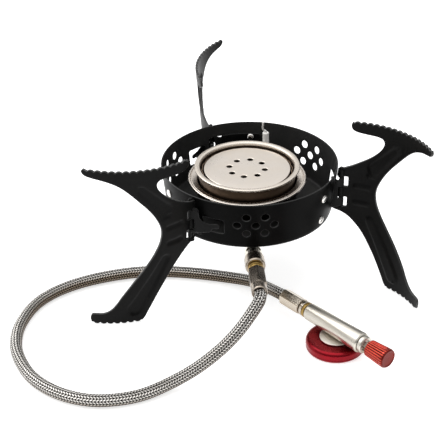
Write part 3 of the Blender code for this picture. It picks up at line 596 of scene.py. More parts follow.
def sheet(loops, thickness, bend, edge, spacing, emboss=unpressed, rolled=False, sheen_far_side=False):
    """A sheet of metal with rounded edges, from flat loops with the metal on their left.

    The first loop is the outline and the rest are holes. bend turns flat points and a distance
    from the middle of the sheet into space, edge is the radius of its edges, spacing the gap
    between its points, and emboss gives the height of what is pressed into it. A rolled sheet
    closes on itself, and only the top of its outline, at a height of 0, is an edge. Edges have
    the second material, which paints a highlight along them, and the far side of a sheet marked
    for it the third, which paints sheen on it.
    """
    arc = 3
    loops = [np.asarray(loop, float) for loop in loops]
    flat = [inset(loop, edge) for loop in loops]
    real_edge = np.ones(len(loops[0]), bool)
    if rolled:
        top = loops[0][:, 1] > -1e-6
        flat[0] = loops[0] - np.outer(top, (0.0, edge))
        real_edge = top & np.roll(top, -1)
    low, high = flat[0].min(0), flat[0].max(0)
    grid = []
    row_gap = spacing * 0.866
    for row in range(int((high[1] - low[1]) / row_gap) + 1):
        y = low[1] + (row + 0.5) * row_gap
        start = low[0] + (0.5 if row % 2 else 1.0) * spacing
        grid += [(x, y) for x in np.arange(start, high[0], spacing)]
    grid = np.array(grid)
    grid = grid[on_metal(grid, flat)]
    rim = np.concatenate(flat)
    near = np.full(len(grid), 1e9)
    for spot in rim:
        near = np.minimum(near, ((grid - spot) ** 2).sum(1))
    grid = grid[near > (0.55 * spacing) ** 2]
    fixed = []
    start = 0
    for loop in flat:
        fixed += [(start + i, start + (i + 1) % len(loop)) for i in range(len(loop))]
        start += len(loop)
    every = [Vector(p) for p in rim] + [Vector(p) for p in grid]
    made = delaunay_2d_cdt(every, fixed, [], 0, 1e-5)
    spots = np.array([tuple(v) for v in made[0]])
    triangles = np.array(made[2])
    triangles = triangles[on_metal(spots[triangles].mean(1), flat)]
    half = 0.5 * thickness
    points = [bend(spots, side * half + emboss(spots)) for side in (1.0, -1.0)]
    count = len(spots)
    faces = [tuple(int(i) for i in t) for t in triangles]
    faces += [tuple(int(i) + count for i in t[::-1]) for t in triangles]
    start = 2 * count
    for number, (loop, inner) in enumerate(zip(loops, flat)):
        rings = []
        for side in (1.0, -1.0):
            angles = np.linspace(0.0, PI / 2, arc + 1)
            for angle in angles if side > 0 else angles[::-1]:
                share = 1.0 - math.sin(angle)
                ring = loop + (inner - loop) * share
                rings.append(bend(ring, side * (half - edge * (1.0 - math.cos(angle))) + emboss(inner)))
        points += rings
        size = len(loop)
        for k in range(len(rings) - 1):
            a = start + k * size
            for i in range(size):
                if number or real_edge[i]:
                    j = (i + 1) % size
                    faces.append((a + i, a + j, a + size + j, a + size + i))
        start += size * len(rings)
    # Edge faces take the second material, which paints a highlight along them; the far side may take the
    # third, which paints sheen
    finishes = np.ones(len(faces), np.int32)
    finishes[:len(triangles)] = 0
    finishes[len(triangles):2 * len(triangles)] = 2 if sheen_far_side else 0
    return mesh_of(np.concatenate(points), faces, finishes)


def smooth_curve(points, steps):
    """Reads a Catmull-Rom curve through points, with a number of steps in each span."""
    points = [Vector(p) for p in points]
    ends = [2 * points[0] - points[1]] + points + [2 * points[-1] - points[-2]]
    out = []
    for a, b, c, d in zip(ends, ends[1:], ends[2:], ends[3:]):
        for index in range(steps):
            t = index / steps
            out.append(0.5 * (2 * b + (c - a) * t + (2 * a - 5 * b + 4 * c - d) * t * t
                              + (3 * b - a - 3 * c + d) * t ** 3))
    out.append(points[-1])
    return out


def lengths_along(path):
    """The distance of each point of a path from its start."""
    out = [0.0]
    for a, b in zip(path, path[1:]):
        out.append(out[-1] + (b - a).length)
    return out


def round_path(radius, degrees):
    """Points on an arc about the Z axis."""
    return [Vector((radius * math.cos(math.radians(a)), radius * math.sin(math.radians(a)), 0.0))
            for a in degrees]


def about_z(degrees):
    return Matrix.Rotation(math.radians(degrees), 4, "Z")


def shift(x, y, z):
    return Matrix.Translation(Vector((x, y, z)))


# ---------------------------------------------------------------- hose

def evenly(path, gap):
    """Points a fixed gap apart along a path, ending on its last point."""
    runs = lengths_along(path)
    marks = np.arange(0.0, runs[-1] - 0.3 * gap, gap)
    spots = np.stack([np.interp(marks, runs, column) for column in np.array(path).T], 1)
    return [Vector(spot) for spot in spots] + [path[-1]]


def hose():
    """A round tube along its route, with the braid's rows as shallow lobes."""
    around = 64
    radius = 0.5 * HOSE_DIAMETER * MM
    lobe_depth = 0.13 * MM
    even = evenly(smooth_curve([(Vector(p) + AXIS) * MM for p in HOSE_ROUTE], 24), 0.9 * MM)
    lengths, ways = lengths_along(even), ways_along(even)
    side = ways[0].cross(Vector((0, 0, 1))).normalized()
    points = []
    for spot, way in zip(even, ways):
        side = (side - way * side.dot(way)).normalized()
        up = side.cross(way)
        for k in range(around):
            angle = 2 * PI * k / around
            lobe = abs(((k / around * BRAID_ROWS) % 1.0) - 0.5) * 2.0
            size = radius - lobe_depth * lobe ** 2
            points.append(spot + (side * math.cos(angle) + up * math.sin(angle)) * size)
    faces, marks = [], []
    for index in range(len(even) - 1):
        a, b = index * around, (index + 1) * around
        for k in range(around):
            j = (k + 1) % around
            faces.append((a + k, a + j, b + j, b + k))
            marks += [((k + turn) / around, lengths[index + step])
                      for turn, step in ((0, 0), (1, 0), (1, 1), (0, 1))]
    last = (len(even) - 1) * around
    for ring in (range(around - 1, -1, -1), range(last, last + around)):
        faces.append(tuple(ring))
        marks += [(0.0, 0.0)] * around
    mesh = bpy.data.meshes.new("hose_braid")
    mesh.from_pydata([tuple(p) for p in points], [], faces)
    mesh.shade_smooth()
    layer = mesh.uv_layers.new(name="run")
    layer.data.foreach_set("uv", np.array(marks, np.float32).ravel())
    mesh.materials.append(BRAID)
    made = linked("hose_braid", mesh)
    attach(made, "stove")
    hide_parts("hose")
    return made, even, lengths[-1]


# ---------------------------------------------------------------- bowl

def wall_radius(z):
    return RIM_RADIUS - (RIM_Z - z) * math.tan(WALL_TAPER)


def bowl_profile():
    """Points down the outside of the bowl, from the rim to the floor."""
    corner, neck_hole = 2.2, 7.0
    low = wall_radius(BOWL_FLOOR_Z + corner)
    spots = [Vector((RIM_RADIUS, RIM_Z)), Vector((low, BOWL_FLOOR_Z + corner))]
    for step in range(1, 7):
        angle = 0.5 * PI * step / 6
        spots.append(Vector((low - corner + corner * math.cos(angle),
                             BOWL_FLOOR_Z + corner * (1 - math.sin(angle)))))
    spots.append(Vector((neck_hole, BOWL_FLOOR_Z)))
    return spots


BOWL_SPOTS = bowl_profile()
BOWL_RUN = lengths_along(BOWL_SPOTS)
# The wall is cut flat as it unrolls at this radius
FLAT_RADIUS = wall_radius(61.3)


def bowl_bend(flat, side):
    """flat is (distance round the bowl, -distance down from the rim)."""
    angle = flat[:, 0] / FLAT_RADIUS
    run = -flat[:, 1]
    radius = np.interp(run, BOWL_RUN, [s.x for s in BOWL_SPOTS])
    height = np.interp(run, BOWL_RUN, [s.y for s in BOWL_SPOTS])
    wall = math.cos(WALL_TAPER), -math.sin(WALL_TAPER)
    turn = np.clip((run - BOWL_RUN[1]) / (BOWL_RUN[-2] - BOWL_RUN[1]), 0.0, 1.0)
    out_x = wall[0] * np.cos(turn * PI / 2)
    out_z = wall[1] - (1 + wall[1]) * np.sin(turn * PI / 2)
    size = np.hypot(out_x, out_z)
    depth = side - 0.5 * SHEET
    radius = radius + out_x / size * depth
    height = height + out_z / size * depth
    return np.stack([radius * np.cos(angle), radius * np.sin(angle), height], 1)


def run_at(z):
    return (z - RIM_Z) / math.cos(WALL_TAPER)


def bowl():
    """The bowl is one strip, rolled round and closed, with its openings cut in the flat."""
    full = 2 * PI * FLAT_RADIUS
    seam_azimuth = -50.0
    seam_at = math.radians(seam_azimuth) * FLAT_RADIUS
    columns = 240
    bottom = -BOWL_RUN[-1]
    rows = [0.0, -0.45, -1.2] + list(np.arange(-2.5, bottom, -1.4)) + [bottom]
    # counter-clockwise: along the bottom, up the end, back along the top, down the start
    base = [(seam_at + full * k / columns, bottom) for k in range(columns)]
    end = [(seam_at + full, y) for y in rows[::-1][:-1]]
    top = [(seam_at + full - full * k / columns, 0.0) for k in range(columns)]
    start = [(seam_at, y) for y in rows[:-1]]
    outline = base + end + top + start
    holes = []

    def hole(azimuth, z, points):
        """Adds a hole, its outline given about its own middle, running clockwise."""
        x = math.radians((azimuth - seam_azimuth) % 360.0 + seam_azimuth) * FLAT_RADIUS
        holes.append([(x + p[0], run_at(z) + p[1]) for p in points[::-1]])

    pitch = math.degrees(HOLE_PITCH / FLAT_RADIUS)
    for field in HOLE_FIELDS:
        for row, count in ((1, 2), (0, 3), (-1, 2)):
            for index in range(count):
                hole(field + (index - 0.5 * (count - 1)) * pitch, HOLE_Z + row * HOLE_ROW_PITCH,
                     circle(HOLE_RADIUS, 28))

    def slot(azimuth, low, high, z_low, z_high):
        """Adds a rectangular hole between two angles from a hinge and two heights."""
        corner = 1.2
        half = math.radians(0.5 * (high - low)) * FLAT_RADIUS
        rise = 0.5 * (z_high - z_low)
        shape = rounded([(half, rise, corner), (-half, rise, corner), (-half, -rise, corner),
                         (half, -rise, corner)], 5)
        shape = dense(shape, 1.2, whole=int)
        hole(azimuth + 0.5 * (low + high), 0.5 * (z_low + z_high), shape)

    for _, azimuth, _ in HINGES:
        for opening in WALL_OPENINGS:
            slot(azimuth, *opening)
    # The bowl's inside takes the lighter enamel, which paints sheen on the inner wall
    mesh = sheet([outline] + holes, SHEET, bowl_bend, edge=0.3, spacing=1.5, rolled=True, sheen_far_side=True)
    piece("bowl_shell", mesh, (BOWL_BLACK, BOWL_EDGE_SHEEN, BOWL_INSIDE_SHEEN), Matrix.Identity(4), "bowl",
          crease=None)


# ---------------------------------------------------------------- hinge brackets

def brackets():
    """A strap inside the wall, bent out to roll round the pin, and a stop tongue beyond it."""
    wrap = 1.6
    steps = 6
    path = round_path(50.4, range(-34, -12))
    leave_wall = len(path)
    path += smooth_curve([(49.30, -10.5, 0), (49.4, -8.4, 0), (50.2, -6.2, 0), (52.2, -3.9, 0),
                          (54.4, -2.2, 0), (PIN_CIRCLE, -wrap, 0)], steps)[:-1]
    wrap_start = len(path)
    path += [Vector((PIN_CIRCLE, 0.0, 0.0)) + p for p in round_path(wrap, range(-90, 24, 10))]
    wrap_end = len(path) - 1
    path += smooth_curve([(57.47, 0.62, 0), (56.6, 3.3, 0), (54.9, 7.4, 0), (52.8, 11.0, 0),
                          (50.7, 13.9, 0), (49.4, 16.3, 0)], steps)[1:]
    runs = lengths_along(path)
    headings = np.unwrap([math.atan2(way.y, way.x) for way in ways_along(path)])
    start, end, total = runs[wrap_start], runs[wrap_end], runs[-1]
    low, high = 54.7, 62.5
    step_down = runs[leave_wall + 5 * steps // 2]
    window = runs[leave_wall - 2], step_down
    parting = runs[leave_wall + 4 * steps]
    rise = end + 2.9
    outline = rounded([
        (0.0, 48.9, 1.5), (end + 0.6, 48.9, 0.6), (end + 0.9, 53.0, 0.6), (rise + 3.0, 53.6, 2),
        (total - 5.6, 54.6, 1.5), (total - 4.2, 56.8, 1.0), (total, 56.9, 2.0), (total, 59.8, 1.4),
        (total - 6.0, 59.9, 4), (rise + 5.0, 61.4, 3), (rise + 3.2, 64.0, 2), (rise + 2.4, 67.4, 0.8),
        (end, 68.1, 0.5), (start - 0.8, 68.1, 0.5), (start - 1.6, 66.8, 0.5),
        (step_down + 0.6, 66.8, 0.6), (step_down - 0.6, 68.3, 0.8), (0.0, 68.3, 1.5)])
    opening = rounded([(window[0], low, 1.2), (window[1], low, 1.2), (window[1], high, 1.2),
                       (window[0], high, 1.2)])
    pin_slot = rounded([(parting, low, 0.6), (rise, low, 0.6), (rise, high - 0.2, 0.6),
                        (parting, high - 0.2, 0.6)])

    def bend(flat, side):
        x = np.interp(flat[:, 0], runs, [p.x for p in path])
        y = np.interp(flat[:, 0], runs, [p.y for p in path])
        heading = np.interp(flat[:, 0], runs, headings)
        lean = (flat[:, 1] - HINGE_Z) * math.tan(WALL_TAPER)
        lean = lean * np.clip((start - 2.0 - flat[:, 0]) / 7.0, 0.0, 1.0)
        return np.stack([x + np.sin(heading) * (side + lean), y - np.cos(heading) * (side + lean),
                         flat[:, 1]], 1)

    for name, azimuth, _ in HINGES:
        loops = [dense(outline, 1.0), dense(opening[::-1], 1.0), dense(pin_slot[::-1], 1.0)]
        mesh = sheet(loops, STRAP_SHEET, bend, edge=0.3, spacing=1.0)
        piece("hinge_strap_" + name, mesh, (STRAP_BLACK, STRAP_EDGE_SHEEN), about_z(azimuth),
              "bracket_" + name, crease=None)


# ---------------------------------------------------------------- legs

def teeth(start, end, count):
    """A scalloped edge from start to end, its crests on the line."""
    depth, phase, roundness = -1.3, 0.03, 0.985
    a, b = Vector(start), Vector(end)
    along = b - a
    across = Vector((along.y, -along.x)).normalized() * depth
    points = []
    per = 8
    for index in range(count * per + 1):
        t = index / per
        local = ((t + phase) % 1.0) * 2.0 - 1.0
        drop = (1.0 - math.sqrt(1.0 - roundness * local * local)) / (1.0 - math.sqrt(1.0 - roundness))
        points.append(a + along * (t / count) + across * drop)
    return points


def leg_outline():
    """Distance from the pin along the sheet, and height, counter-clockwise."""
    inner_edge = [(1.6, 74.2), (-0.4, 73.9), (-1.8, 73.5), (-2.1, 72.8), (-2.6, 68.9), (-2.2, 68.4),
                  (0.0, 68.4), (3.9, 68.4), (4.4, 67.9), (4.4, 62.5), (3.9, 62.0), (0.0, 62.0),
                  (-2.0, 62.0), (-2.5, 61.5), (-2.5, 55.5), (-2.0, 55.0), (0.0, 55.0), (3.5, 55.0),
                  (4.0, 54.5), (4.0, 49.1), (3.5, 48.6), (0.0, 48.6), (-4.0, 48.6), (-4.5, 48.1),
                  (-4.7, 47.2), (-3.8, 46.6), (-1.0, 45.6), (1.4, 44.6)]
    arm_under = [(5.9, 104.3), (5.3, 103.4), (4.9, 102.3), (5.3, 100.2), (7.4, 98.5), (11.0, 97.7),
                 (16.0, 97.4), (22.0, 97.3), (25.2, 96.5), (26.3, 94.4), (25.6, 91.6),
                 (23.3, 88.3), (20.2, 85.1), (16.0, 81.8), (10.9, 78.6), (5.9, 75.9), (1.6, 74.2)]
    heel_side = [(1.4, 44.6), (5.9, 41.7), (12.0, 35.6), (16.1, 30.1),
                 (19.5, 24.6), (23.3, 18.1), (26.5, 12.0), (29.5, 6.1), (31.2, 2.6), (32.8, 0.6)]
    toe_side = [(63.2, 1.0), (63.8, 4.2), (62.9, 6.7), (60.0, 7.1), (56.8, 7.3), (53.8, 8.3),
                (50.9, 10.6), (48.1, 14.4), (45.6, 18.7), (41.5, 24.8), (37.1, 31.0),
                (32.3, 37.5), (28.2, 43.5), (25.4, 48.4), (23.4, 53.0), (22.5, 57.2),
                (22.4, 61.2), (23.4, 65.4), (25.7, 70.3), (28.5, 74.9), (32.2, 79.8),
                (36.5, 84.7), (40.7, 89.3), (45.0, 93.5), (49.0, 96.5), (53.3, 98.6),
                (58.1, 100.2), (63.4, 101.4), (67.8, 102.7), (69.6, 104.9), (69.3, 106.3),
                (68.4, 106.95)]
    outline = smooth_curve(arm_under, 4)[:-1] + dense(inner_edge, 1.0, closed=False, whole=int)
    outline += smooth_curve(heel_side, 4) + teeth((33.6, 0.0), (62.0, 0.0), 7)
    outline += smooth_curve(toe_side, 4) + teeth((66.0, 106.8), (6.4, 104.6), 15)
    outline = [tuple(p) for p in outline]
    clean = [outline[0]]
    for point in outline[1:]:
        if math.dist(point, clean[-1]) > 0.16:
            clean.append(point)
    return clean


def leg_bend(flat, side):
    """Rolls a leg to the curve of the bowl, so that it folds against the wall, and leans it."""
    curve, lean = 57.0, math.tan(math.radians(4.7))
    angle = flat[:, 0] / curve
    x = (curve + side) * np.sin(angle)
    y = (curve + side) * np.cos(angle) - curve
    return np.stack([x, y + (flat[:, 1] - HINGE_Z) * lean, flat[:, 1]], 1)


# Each pressing has its two ends, its width at each, its depth and the width of its sloping edge
LEG_PRESSINGS = (
    ((35.0, 92.0), (20.8, 76.4), 5.0, 7.6, 1.0, 1.7), ((19.4, 41.4), (37.6, 9.6), 5.0, 8.4, 1.0, 1.7),
    ((9.4, 62.9), (18.0, 62.9), 2.6, 2.6, 0.8, 2.0), ((9.4, 51.9), (17.2, 51.9), 2.6, 2.6, 0.8, 2.0),
    ((18.0, 71.4), (21.2, 71.4), 2.6, 2.6, 0.8, 2.0), ((36.8, 94.4), (36.9, 94.4), 1.8, 1.8, 0.6, 1.2),
    ((39.2, 6.6), (39.3, 6.6), 1.8, 1.8, 0.6, 1.2),
)


def leg_emboss(flat):
    """Channels pressed down both arms, ribs at the waist and a small dimple near each end."""
    out = np.zeros(len(flat))
    for start, end, wide_start, wide_end, depth, edge in LEG_PRESSINGS:
        along = np.subtract(end, start)
        share = np.clip((flat - start) @ along / (along @ along), 0.0, 1.0)
        away = np.linalg.norm(flat - start - share[:, None] * along, axis=1)
        inward = 0.5 * (wide_start + (wide_end - wide_start) * share) - away
        t = np.clip(inward / edge + 0.5, 0.0, 1.0)
        out -= depth * t * t * (3 - 2 * t)
    return out


def legs():
    outline = leg_outline()
    for name, azimuth, direction in HINGES:
        parts = [sheet([outline], LEG_SHEET, leg_bend, edge=0.35, spacing=0.95, emboss=leg_emboss)]
        for low, high in LEG_KNUCKLES_Z:
            parts.append(lathe([(1.2, low, 0.1), (1.9, low, 0.3), (1.9, high, 0.5), (1.2, high, 0.1)], 40))
        mesh = joined(*parts)
        mesh.transform(about_z(azimuth) @ shift(PIN_CIRCLE, 0, 0) @ about_z(direction - azimuth))
        piece("leg_plate_" + name, mesh, (LEG_BLACK, LEG_EDGE_WEAR_SHEEN), Matrix.Identity(4), "leg_" + name,
              "leg_" + name, crease=None)


# ---------------------------------------------------------------- burner

def burner():
    """The tray, the cup and its neck, the lid with its ports, and the spark electrode."""
    centre = shift(BURNER.x, BURNER.y, 0.0)
    pan = [(8.0, 46.6), (20.0, 46.6, 2), (26.6, 48.0, 2.5), (30.2, 52.0, 3), (33.0, 62.6, 1.2),
           (34.2, 63.9, 0.5), (35.4, 63.85, 0.5), (36.1, 64.1, 0.6), (36.1, 65.4, 0.7), (34.9, 65.45, 0.5),
           (34.6, 64.75, 0.1), (34.25, 64.75, 0.1), (34.1, 65.0, 0.2), (30.7, 64.3, 0.5),
           (30.2, 63.2, 0.6), (29.0, 52.8, 2.4), (26.0, 49.2, 2), (19.6, 47.9, 2), (8.0, 47.9)]
    spun("pan_tray", pan, PAN_STEEL, centre, "burner_pan", 128)
    cup = [(20.5, 50.2), (25.0, 50.2, 1), (26.6, 53.0, 2), (28.2, 58.0, 4), (29.4, 64.0, 4),
           (30.3, 70.6, 0.8), (31.9, 71.7, 0.5), (32.3, 72.3, 0.4), (32.1, 73.0, 0.5), (30.6, 73.1, 0.8),
           (29.3, 72.9, 0.5), (28.85, 72.2, 0.4), (28.75, 70.4, 1), (28.25, 64.0, 3), (27.0, 58.4, 3),
           (25.6, 54.2, 2), (24.4, 51.4, 1), (20.5, 51.4)]
    spun("cup_shell", cup, CUP_STEEL, centre, "burner_cup", 128)
    neck = [(7.2, 42.9), (9.0, 42.9, 0.4), (9.0, 46.3), (7.7, 46.3), (7.7, 49.9), (20.0, 49.9, 0.3),
            (20.0, 51.2, 0.4), (7.2, 51.2, 0.5)]
    spun("neck_tube", neck, LINE_NICKEL, centre, "mixing_neck", 64)
    loops = [circle(CAP_RADIUS, 144)]
    for index in range(PORT_COUNT):
        x, y = about_z(-10.0 + 360.0 / PORT_COUNT * index).col[0].xy * PORT_CIRCLE
        loops.append(circle(PORT_RADIUS, 32, x, y)[::-1])

    def flat_lid(flat, side):
        radius = np.hypot(flat[:, 0], flat[:, 1])
        dome = 0.12 * np.clip((CAP_RADIUS - 0.7 - radius) / 4.0, 0.0, 1.0)
        return np.stack([flat[:, 0], flat[:, 1], CAP_Z + side + dome], 1)

    lid = sheet(loops, CAP_SHEET, flat_lid, edge=0.32, spacing=1.6)
    skirt = lathe([(25.4, 69.9), (25.4, 66.4, 0.1), (26.1, 66.4, 0.1), (26.1, 69.9)], 128)
    piece("cap_lid", joined(lid, skirt), [CAP_STEEL], centre, "burner_cap")
    at = middle("spark_insulator") - AXIS
    tube = [(0.75, 42.0), (1.6, 42.0, 0.2), (2.0, 42.5, 0.3), (2.0, 73.9, 0.7), (0.75, 73.9, 0.2)]
    spun("insulator_tube", tube, CERAMIC, shift(at.x, at.y, 0), "spark_insulator", 48)
    bends = smooth_curve([(x, 0.0, z) for x, z in ((0.0, 40.6), (0.0, 60.0), (0.0, 73.6), (-0.5, 74.8),
                                                   (-1.6, 75.7), (-1.9, 77.0), (-1.7, 81.2))], 6)
    piece("spark_needle", rod(bends, 0.68, 20), [NEEDLE_STEEL], shift(at.x, at.y, 0), "spark_wire")


# ---------------------------------------------------------------- fittings

def lying(spot, z, azimuth):
    """Where a part lies whose Z axis points along an azimuth."""
    return shift(spot.x, spot.y, z) @ about_z(azimuth) @ LIE_DOWN


def nut(low, high, flats, bore):
    """A hexagon nut with the curved chamfers that a cone cuts on its corners."""
    per_side = 12
    apothem = 0.5 * flats
    start = 0.95 * apothem
    corner = 0.985 * apothem / math.cos(PI / 6)
    sizes = []
    for k in range(6 * per_side):
        angle = 2 * PI * k / (6 * per_side)
        sizes.append((angle, min(apothem / math.cos(angle % (PI / 3) - PI / 6), corner)))
    slope = math.tan(math.radians(30.0))

    def ring_at(radius, height):
        return [(radius * math.cos(t), radius * math.sin(t), height) for t, _ in sizes]

    rings = [ring_at(bore, low), ring_at(start, low)]
    for end, way in ((low, slope), (high, -slope)):
        rings.append([(r * math.cos(t), r * math.sin(t), end + (r - start) * way) for t, r in sizes])
    return rings_mesh(rings + [ring_at(start, high), ring_at(bore, high)])


def hex_nut(name, mesh, material, line, node):
    piece(name, mesh, [material], line, node, crease=24.0)


def gas_line():
    """The fitting in front of the bowl: jet holder, ring, nut and the hose's ferrule."""
    line = lying(BURNER, GAS_Z, GAS_AZIMUTH)
    holder = [(1.4, 53.6), (3.2, 53.6), (3.2, 50.3), (5.0, 50.3, 0.3), (6.0, 51.6, 0.8), (6.0, 59.2, 0.3),
              (5.4, 60.2, 0.3), (1.4, 60.2)]
    spun("holder_sleeve", holder, SHADED_HOLDER_NICKEL, line, "jet_holder")
    seal = [(1.4, 60.5), (4.2, 60.5, 0.3), (4.6, 61.4, 0.3), (4.6, 62.2, 0.2), (4.2, 62.5, 0.2),
            (4.6, 62.9, 0.2), (4.6, 63.8, 0.3), (4.2, 64.6, 0.3), (1.4, 64.6)]
    spun("brass_ring_jet", seal, BRASS, line, "seal_ring_jet")
    hex_nut("hex_nut_jet", nut(64.9, 81.3, 9.2, 1.4), SHADED_JET_NICKEL, line, "hose_nut_jet")
    sleeve = [(1.4, 81.6), (4.4, 81.6, 0.3), (4.7, 82.4, 0.5), (4.7, 86.9, 0.4), (4.4, 87.8, 0.3),
              (4.0, 87.8, 0.2), (3.8, 85.6), (1.4, 85.6)]
    spun("ferrule_sleeve", sleeve, SHADED_JET_NICKEL, line, "hose_ferrule")


def valve():
    """The valve on the hose's far end, from its nut to the knob, and the canister collar under it."""
    line = lying(VALVE, VALVE_Z, VALVE_AZIMUTH)
    hex_nut("hex_nut_valve", nut(-43.2, -27.9, 9.0, 1.4), NUT_NICKEL, line, "hose_nut_valve")
    tail = [(1.4, -27.6), (3.7, -27.6, 0.2), (3.9, -27.0, 0.3), (4.6, -26.6, 0.4), (4.6, -24.7, 0.4),
            (1.4, -24.7)]
    spun("tail_sleeve", tail, NUT_NICKEL, line, "hose_tail_valve")
    seal = [(1.4, -24.4), (4.7, -24.4, 0.4), (4.7, -22.5, 0.4), (1.4, -22.5)]
    spun("brass_ring_valve", seal, BRASS, line, "seal_ring_valve")
    body = [(0.0, -22.2), (4.6, -22.2, 0.5), (5.05, -21.5, 0.6), (6.1, 20.4, 0.8), (5.4, 21.2, 0.4),
            (3.6, 21.2), (3.6, 14.0), (2.2, 14.0), (2.2, -6.0), (0.0, -6.0)]
    spun("body_barrel", body, BODY_NICKEL, line, "valve_body", 96)
    gland = [(1.95, 14.3), (3.3, 14.3), (3.3, 21.5), (5.2, 21.5, 0.3), (5.2, 23.5, 0.5), (4.6, 24.1, 0.3),
             (3.4, 24.1, 0.2), (2.9, 22.9, 0.3), (2.3, 22.6, 0.1), (1.95, 22.6)]
    spun("gland_ring", gland, BODY_NICKEL, line, "gland_nut")
    spindle = [(0.0, -4.6), (0.3, -4.6), (1.5, -1.0), (1.5, 10.6), (1.65, 14.0), (1.65, 32.0),
               (0.0, 32.0)]
    spun("spindle_rod", spindle, BRIGHT_STEEL, line, "spindle", 40, "knob")

    def flutes(radius, height, angle):
        """Cuts the grooves, which stop short of the knob's ends."""
        if radius < 4.3 or not 27.55 < height < 39.2:
            return radius
        return radius - 0.55 * (1.0 - abs(math.cos(0.5 * KNOB_FLUTES * angle)) ** 0.8)

    grip = [(1.95, 27.2), (1.95, 26.9), (4.4, 26.9, 0.2), (5.0, 27.4), (5.05, 27.6)]
    grip += [(5.0 + 0.8 * t, 27.5 + 11.4 * t) for t in (0.1, 0.3, 0.5, 0.7, 0.9, 1.0)]
    grip += [(5.82, 39.15), (5.85, 39.3), (5.85, 40.5, 0.4), (5.3, 41.5, 0.4), (4.6, 41.5, 0.2),
             (4.3, 41.2, 0.2), (0.0, 41.2), (0.0, 32.4), (1.95, 32.4)]
    spun("knob_grip", grip, KNOB_RED, line, "knob", 320, "knob", flutes)

    upright = shift(VALVE.x, VALVE.y, 0.0)
    boss = [(2.2, 6.8), (9.2, 6.8, 0.2), (9.2, 7.6, 0.3), (6.0, 7.9, 0.4), (2.2, 7.9)]
    spun("boss_disc", boss, BOSS_NICKEL, upright, "valve_boss", 96)
    collar = [(8.3, 0.0, 0.3), (16.0, 0.0, 0.5), (16.95, 0.5, 0.6), (17.25, 1.6, 0.3), (17.0, 1.9, 0.15),
              (17.25, 2.2, 0.3), (17.25, 4.7, 1.2), (16.6, 6.0, 1.0), (15.4, 6.5, 1.0), (10.2, 6.5, 0.4),
              (9.9, 6.3, 0.2), (8.3, 6.3, 0.2)]
    spun("collar_disc", collar, COLLAR_RED, upright, "canister_collar", 144)


# ---------------------------------------------------------------- small parts

def rivets():
    """The two rivets of each strap, and the hinge pins."""
    for name, azimuth, _ in HINGES:
        for label, z in RIVETS_Z:
            head = wall_radius(z) + 0.05
            tail = head - SHEET - 1.9
            shape = [(0.0, tail - 1.0), (1.6, tail - 0.9, 0.4), (2.2, tail - 0.4, 0.3), (2.2, tail),
                     (1.5, tail), (1.5, head), (2.5, head, 0.1), (2.45, head + 0.35, 0.3),
                     (1.7, head + 0.95, 1.2), (0.0, head + 1.2)]
            turn = Matrix.Rotation(WALL_TAPER, 4, "Y")
            at = (about_z(azimuth + RIVET_OFFSET) @ shift(wall_radius(z), 0, z) @ turn
                  @ shift(-wall_radius(z), 0, 0) @ LIE_DOWN)
            end = label + "_" + name
            spun("rivet_head_" + end, shape, BRIGHT_STEEL, at, "rivet_" + end, 40)
        pin = [(0.0, 46.5), (1.1, 46.5, 0.2), (1.1, 75.0, 0.4), (0.0, 75.0)]
        spun("pin_rod_" + name, pin, STRAP_BLACK, about_z(azimuth) @ shift(PIN_CIRCLE, 0, 0),
             "pin_" + name, 32)


# ---------------------------------------------------------------- carried-over nodes

PLAIN_FINISHES = {
    "flame_ring": DARK_STEEL, "mixing_tube": LINE_NICKEL, "mixing_elbow": LINE_NICKEL,
    "gas_jet": BRASS, "spindle_seal": RUBBER, "thread_insert": BRASS, "canister_seal": RUBBER,
    "opening_pin": BRASS,
}


def dress_nodes():
    for name, material in PLAIN_FINISHES.items():
        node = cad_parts[name]
        if not node.material_slots:
            node.data.materials.append(material)
        for place in node.material_slots:
            place.material = material


# ---------------------------------------------------------------- stage and light

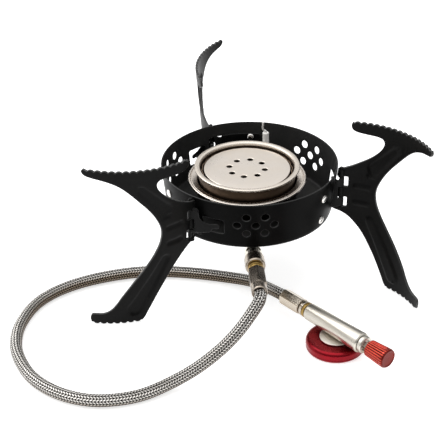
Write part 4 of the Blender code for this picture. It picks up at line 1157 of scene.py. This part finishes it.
def floor():
    half, drop = 9.0, -0.3 * MM
    mesh = bpy.data.meshes.new("floor")
    mesh.from_pydata([(x * half, y * half, drop) for x, y in ((-1, -1), (1, -1), (1, 1), (-1, 1))], [],
                     [(0, 1, 2, 3)])
    g = Graph("floor_paper", Specular_IOR_Level=0.0, Emission_Color=(1.0, 1.0, 1.0, 1.0),
              Emission_Strength=0.62)
    speck = g.noise(260.0, 3.0)
    g.drive(Base_Color=g.mix(speck, (0.80, 0.80, 0.80), (0.83, 0.83, 0.83)),
            Roughness=g.spread(speck, 0.85, 0.95))
    mesh.materials.append(g.material)
    linked("floor", mesh)


def studio():
    """A white tent, brighter overhead and behind, with a soft lamp and a broad sun."""
    world = bpy.data.worlds.new("studio")
    bpy.context.scene.world = world
    world.use_nodes = True
    g = Nodes(world.node_tree)
    back = g.tree.nodes["Background"]
    back.inputs["Strength"].default_value = 1.0
    way = g.add("ShaderNodeTexCoord").outputs["Generated"]
    x, y, z = g.add("ShaderNodeSeparateXYZ", {0: way}).outputs
    above = g.span(z, 0.12, 0.62, 0.06, 1.0, interpolation_type="SMOOTHSTEP")
    around = g.span(y, -0.75, -0.2, 0.18, 1.0, interpolation_type="SMOOTHSTEP")
    around = g.times(around, g.math("MULTIPLY_ADD", x, -0.4, 0.65))
    light = g.times(g.math("MAXIMUM", above, around), g.math("MULTIPLY_ADD", x, -0.16, 1.0))
    white = g.add("ShaderNodeCombineXYZ", {0: light, 1: light, 2: light}).outputs[0]
    g.tree.links.new(white, back.inputs["Color"])

    lamp = bpy.data.lights.new("key", "AREA")
    lamp.energy = 9.0
    lamp.shape = "DISK"
    lamp.size = 1.4
    sun = bpy.data.lights.new("soft_sun", "SUN")
    sun.energy = 0.9
    sun.angle = 1.2
    for data, spot in ((lamp, (-1.2, 0.5, 1.3)), (sun, (-0.4, 0.3, 1.5))):
        made = linked(data.name, data)
        made.location = spot
        made.rotation_euler = (-Vector(spot)).to_track_quat("-Z", "Y").to_euler()
    bpy.context.scene.view_settings.view_transform = "Standard"


HOSE, HOSE_PATH, HOSE_RUN = hose()
bowl()
brackets()
legs()
burner()
gas_line()
valve()
rivets()
dress_nodes()
floor()
studio()
tuple(HOSE_PATH[0])
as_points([tuple(p) for p in HOSE_PATH[::4]]
        + [tuple(HOSE_PATH[-1])])
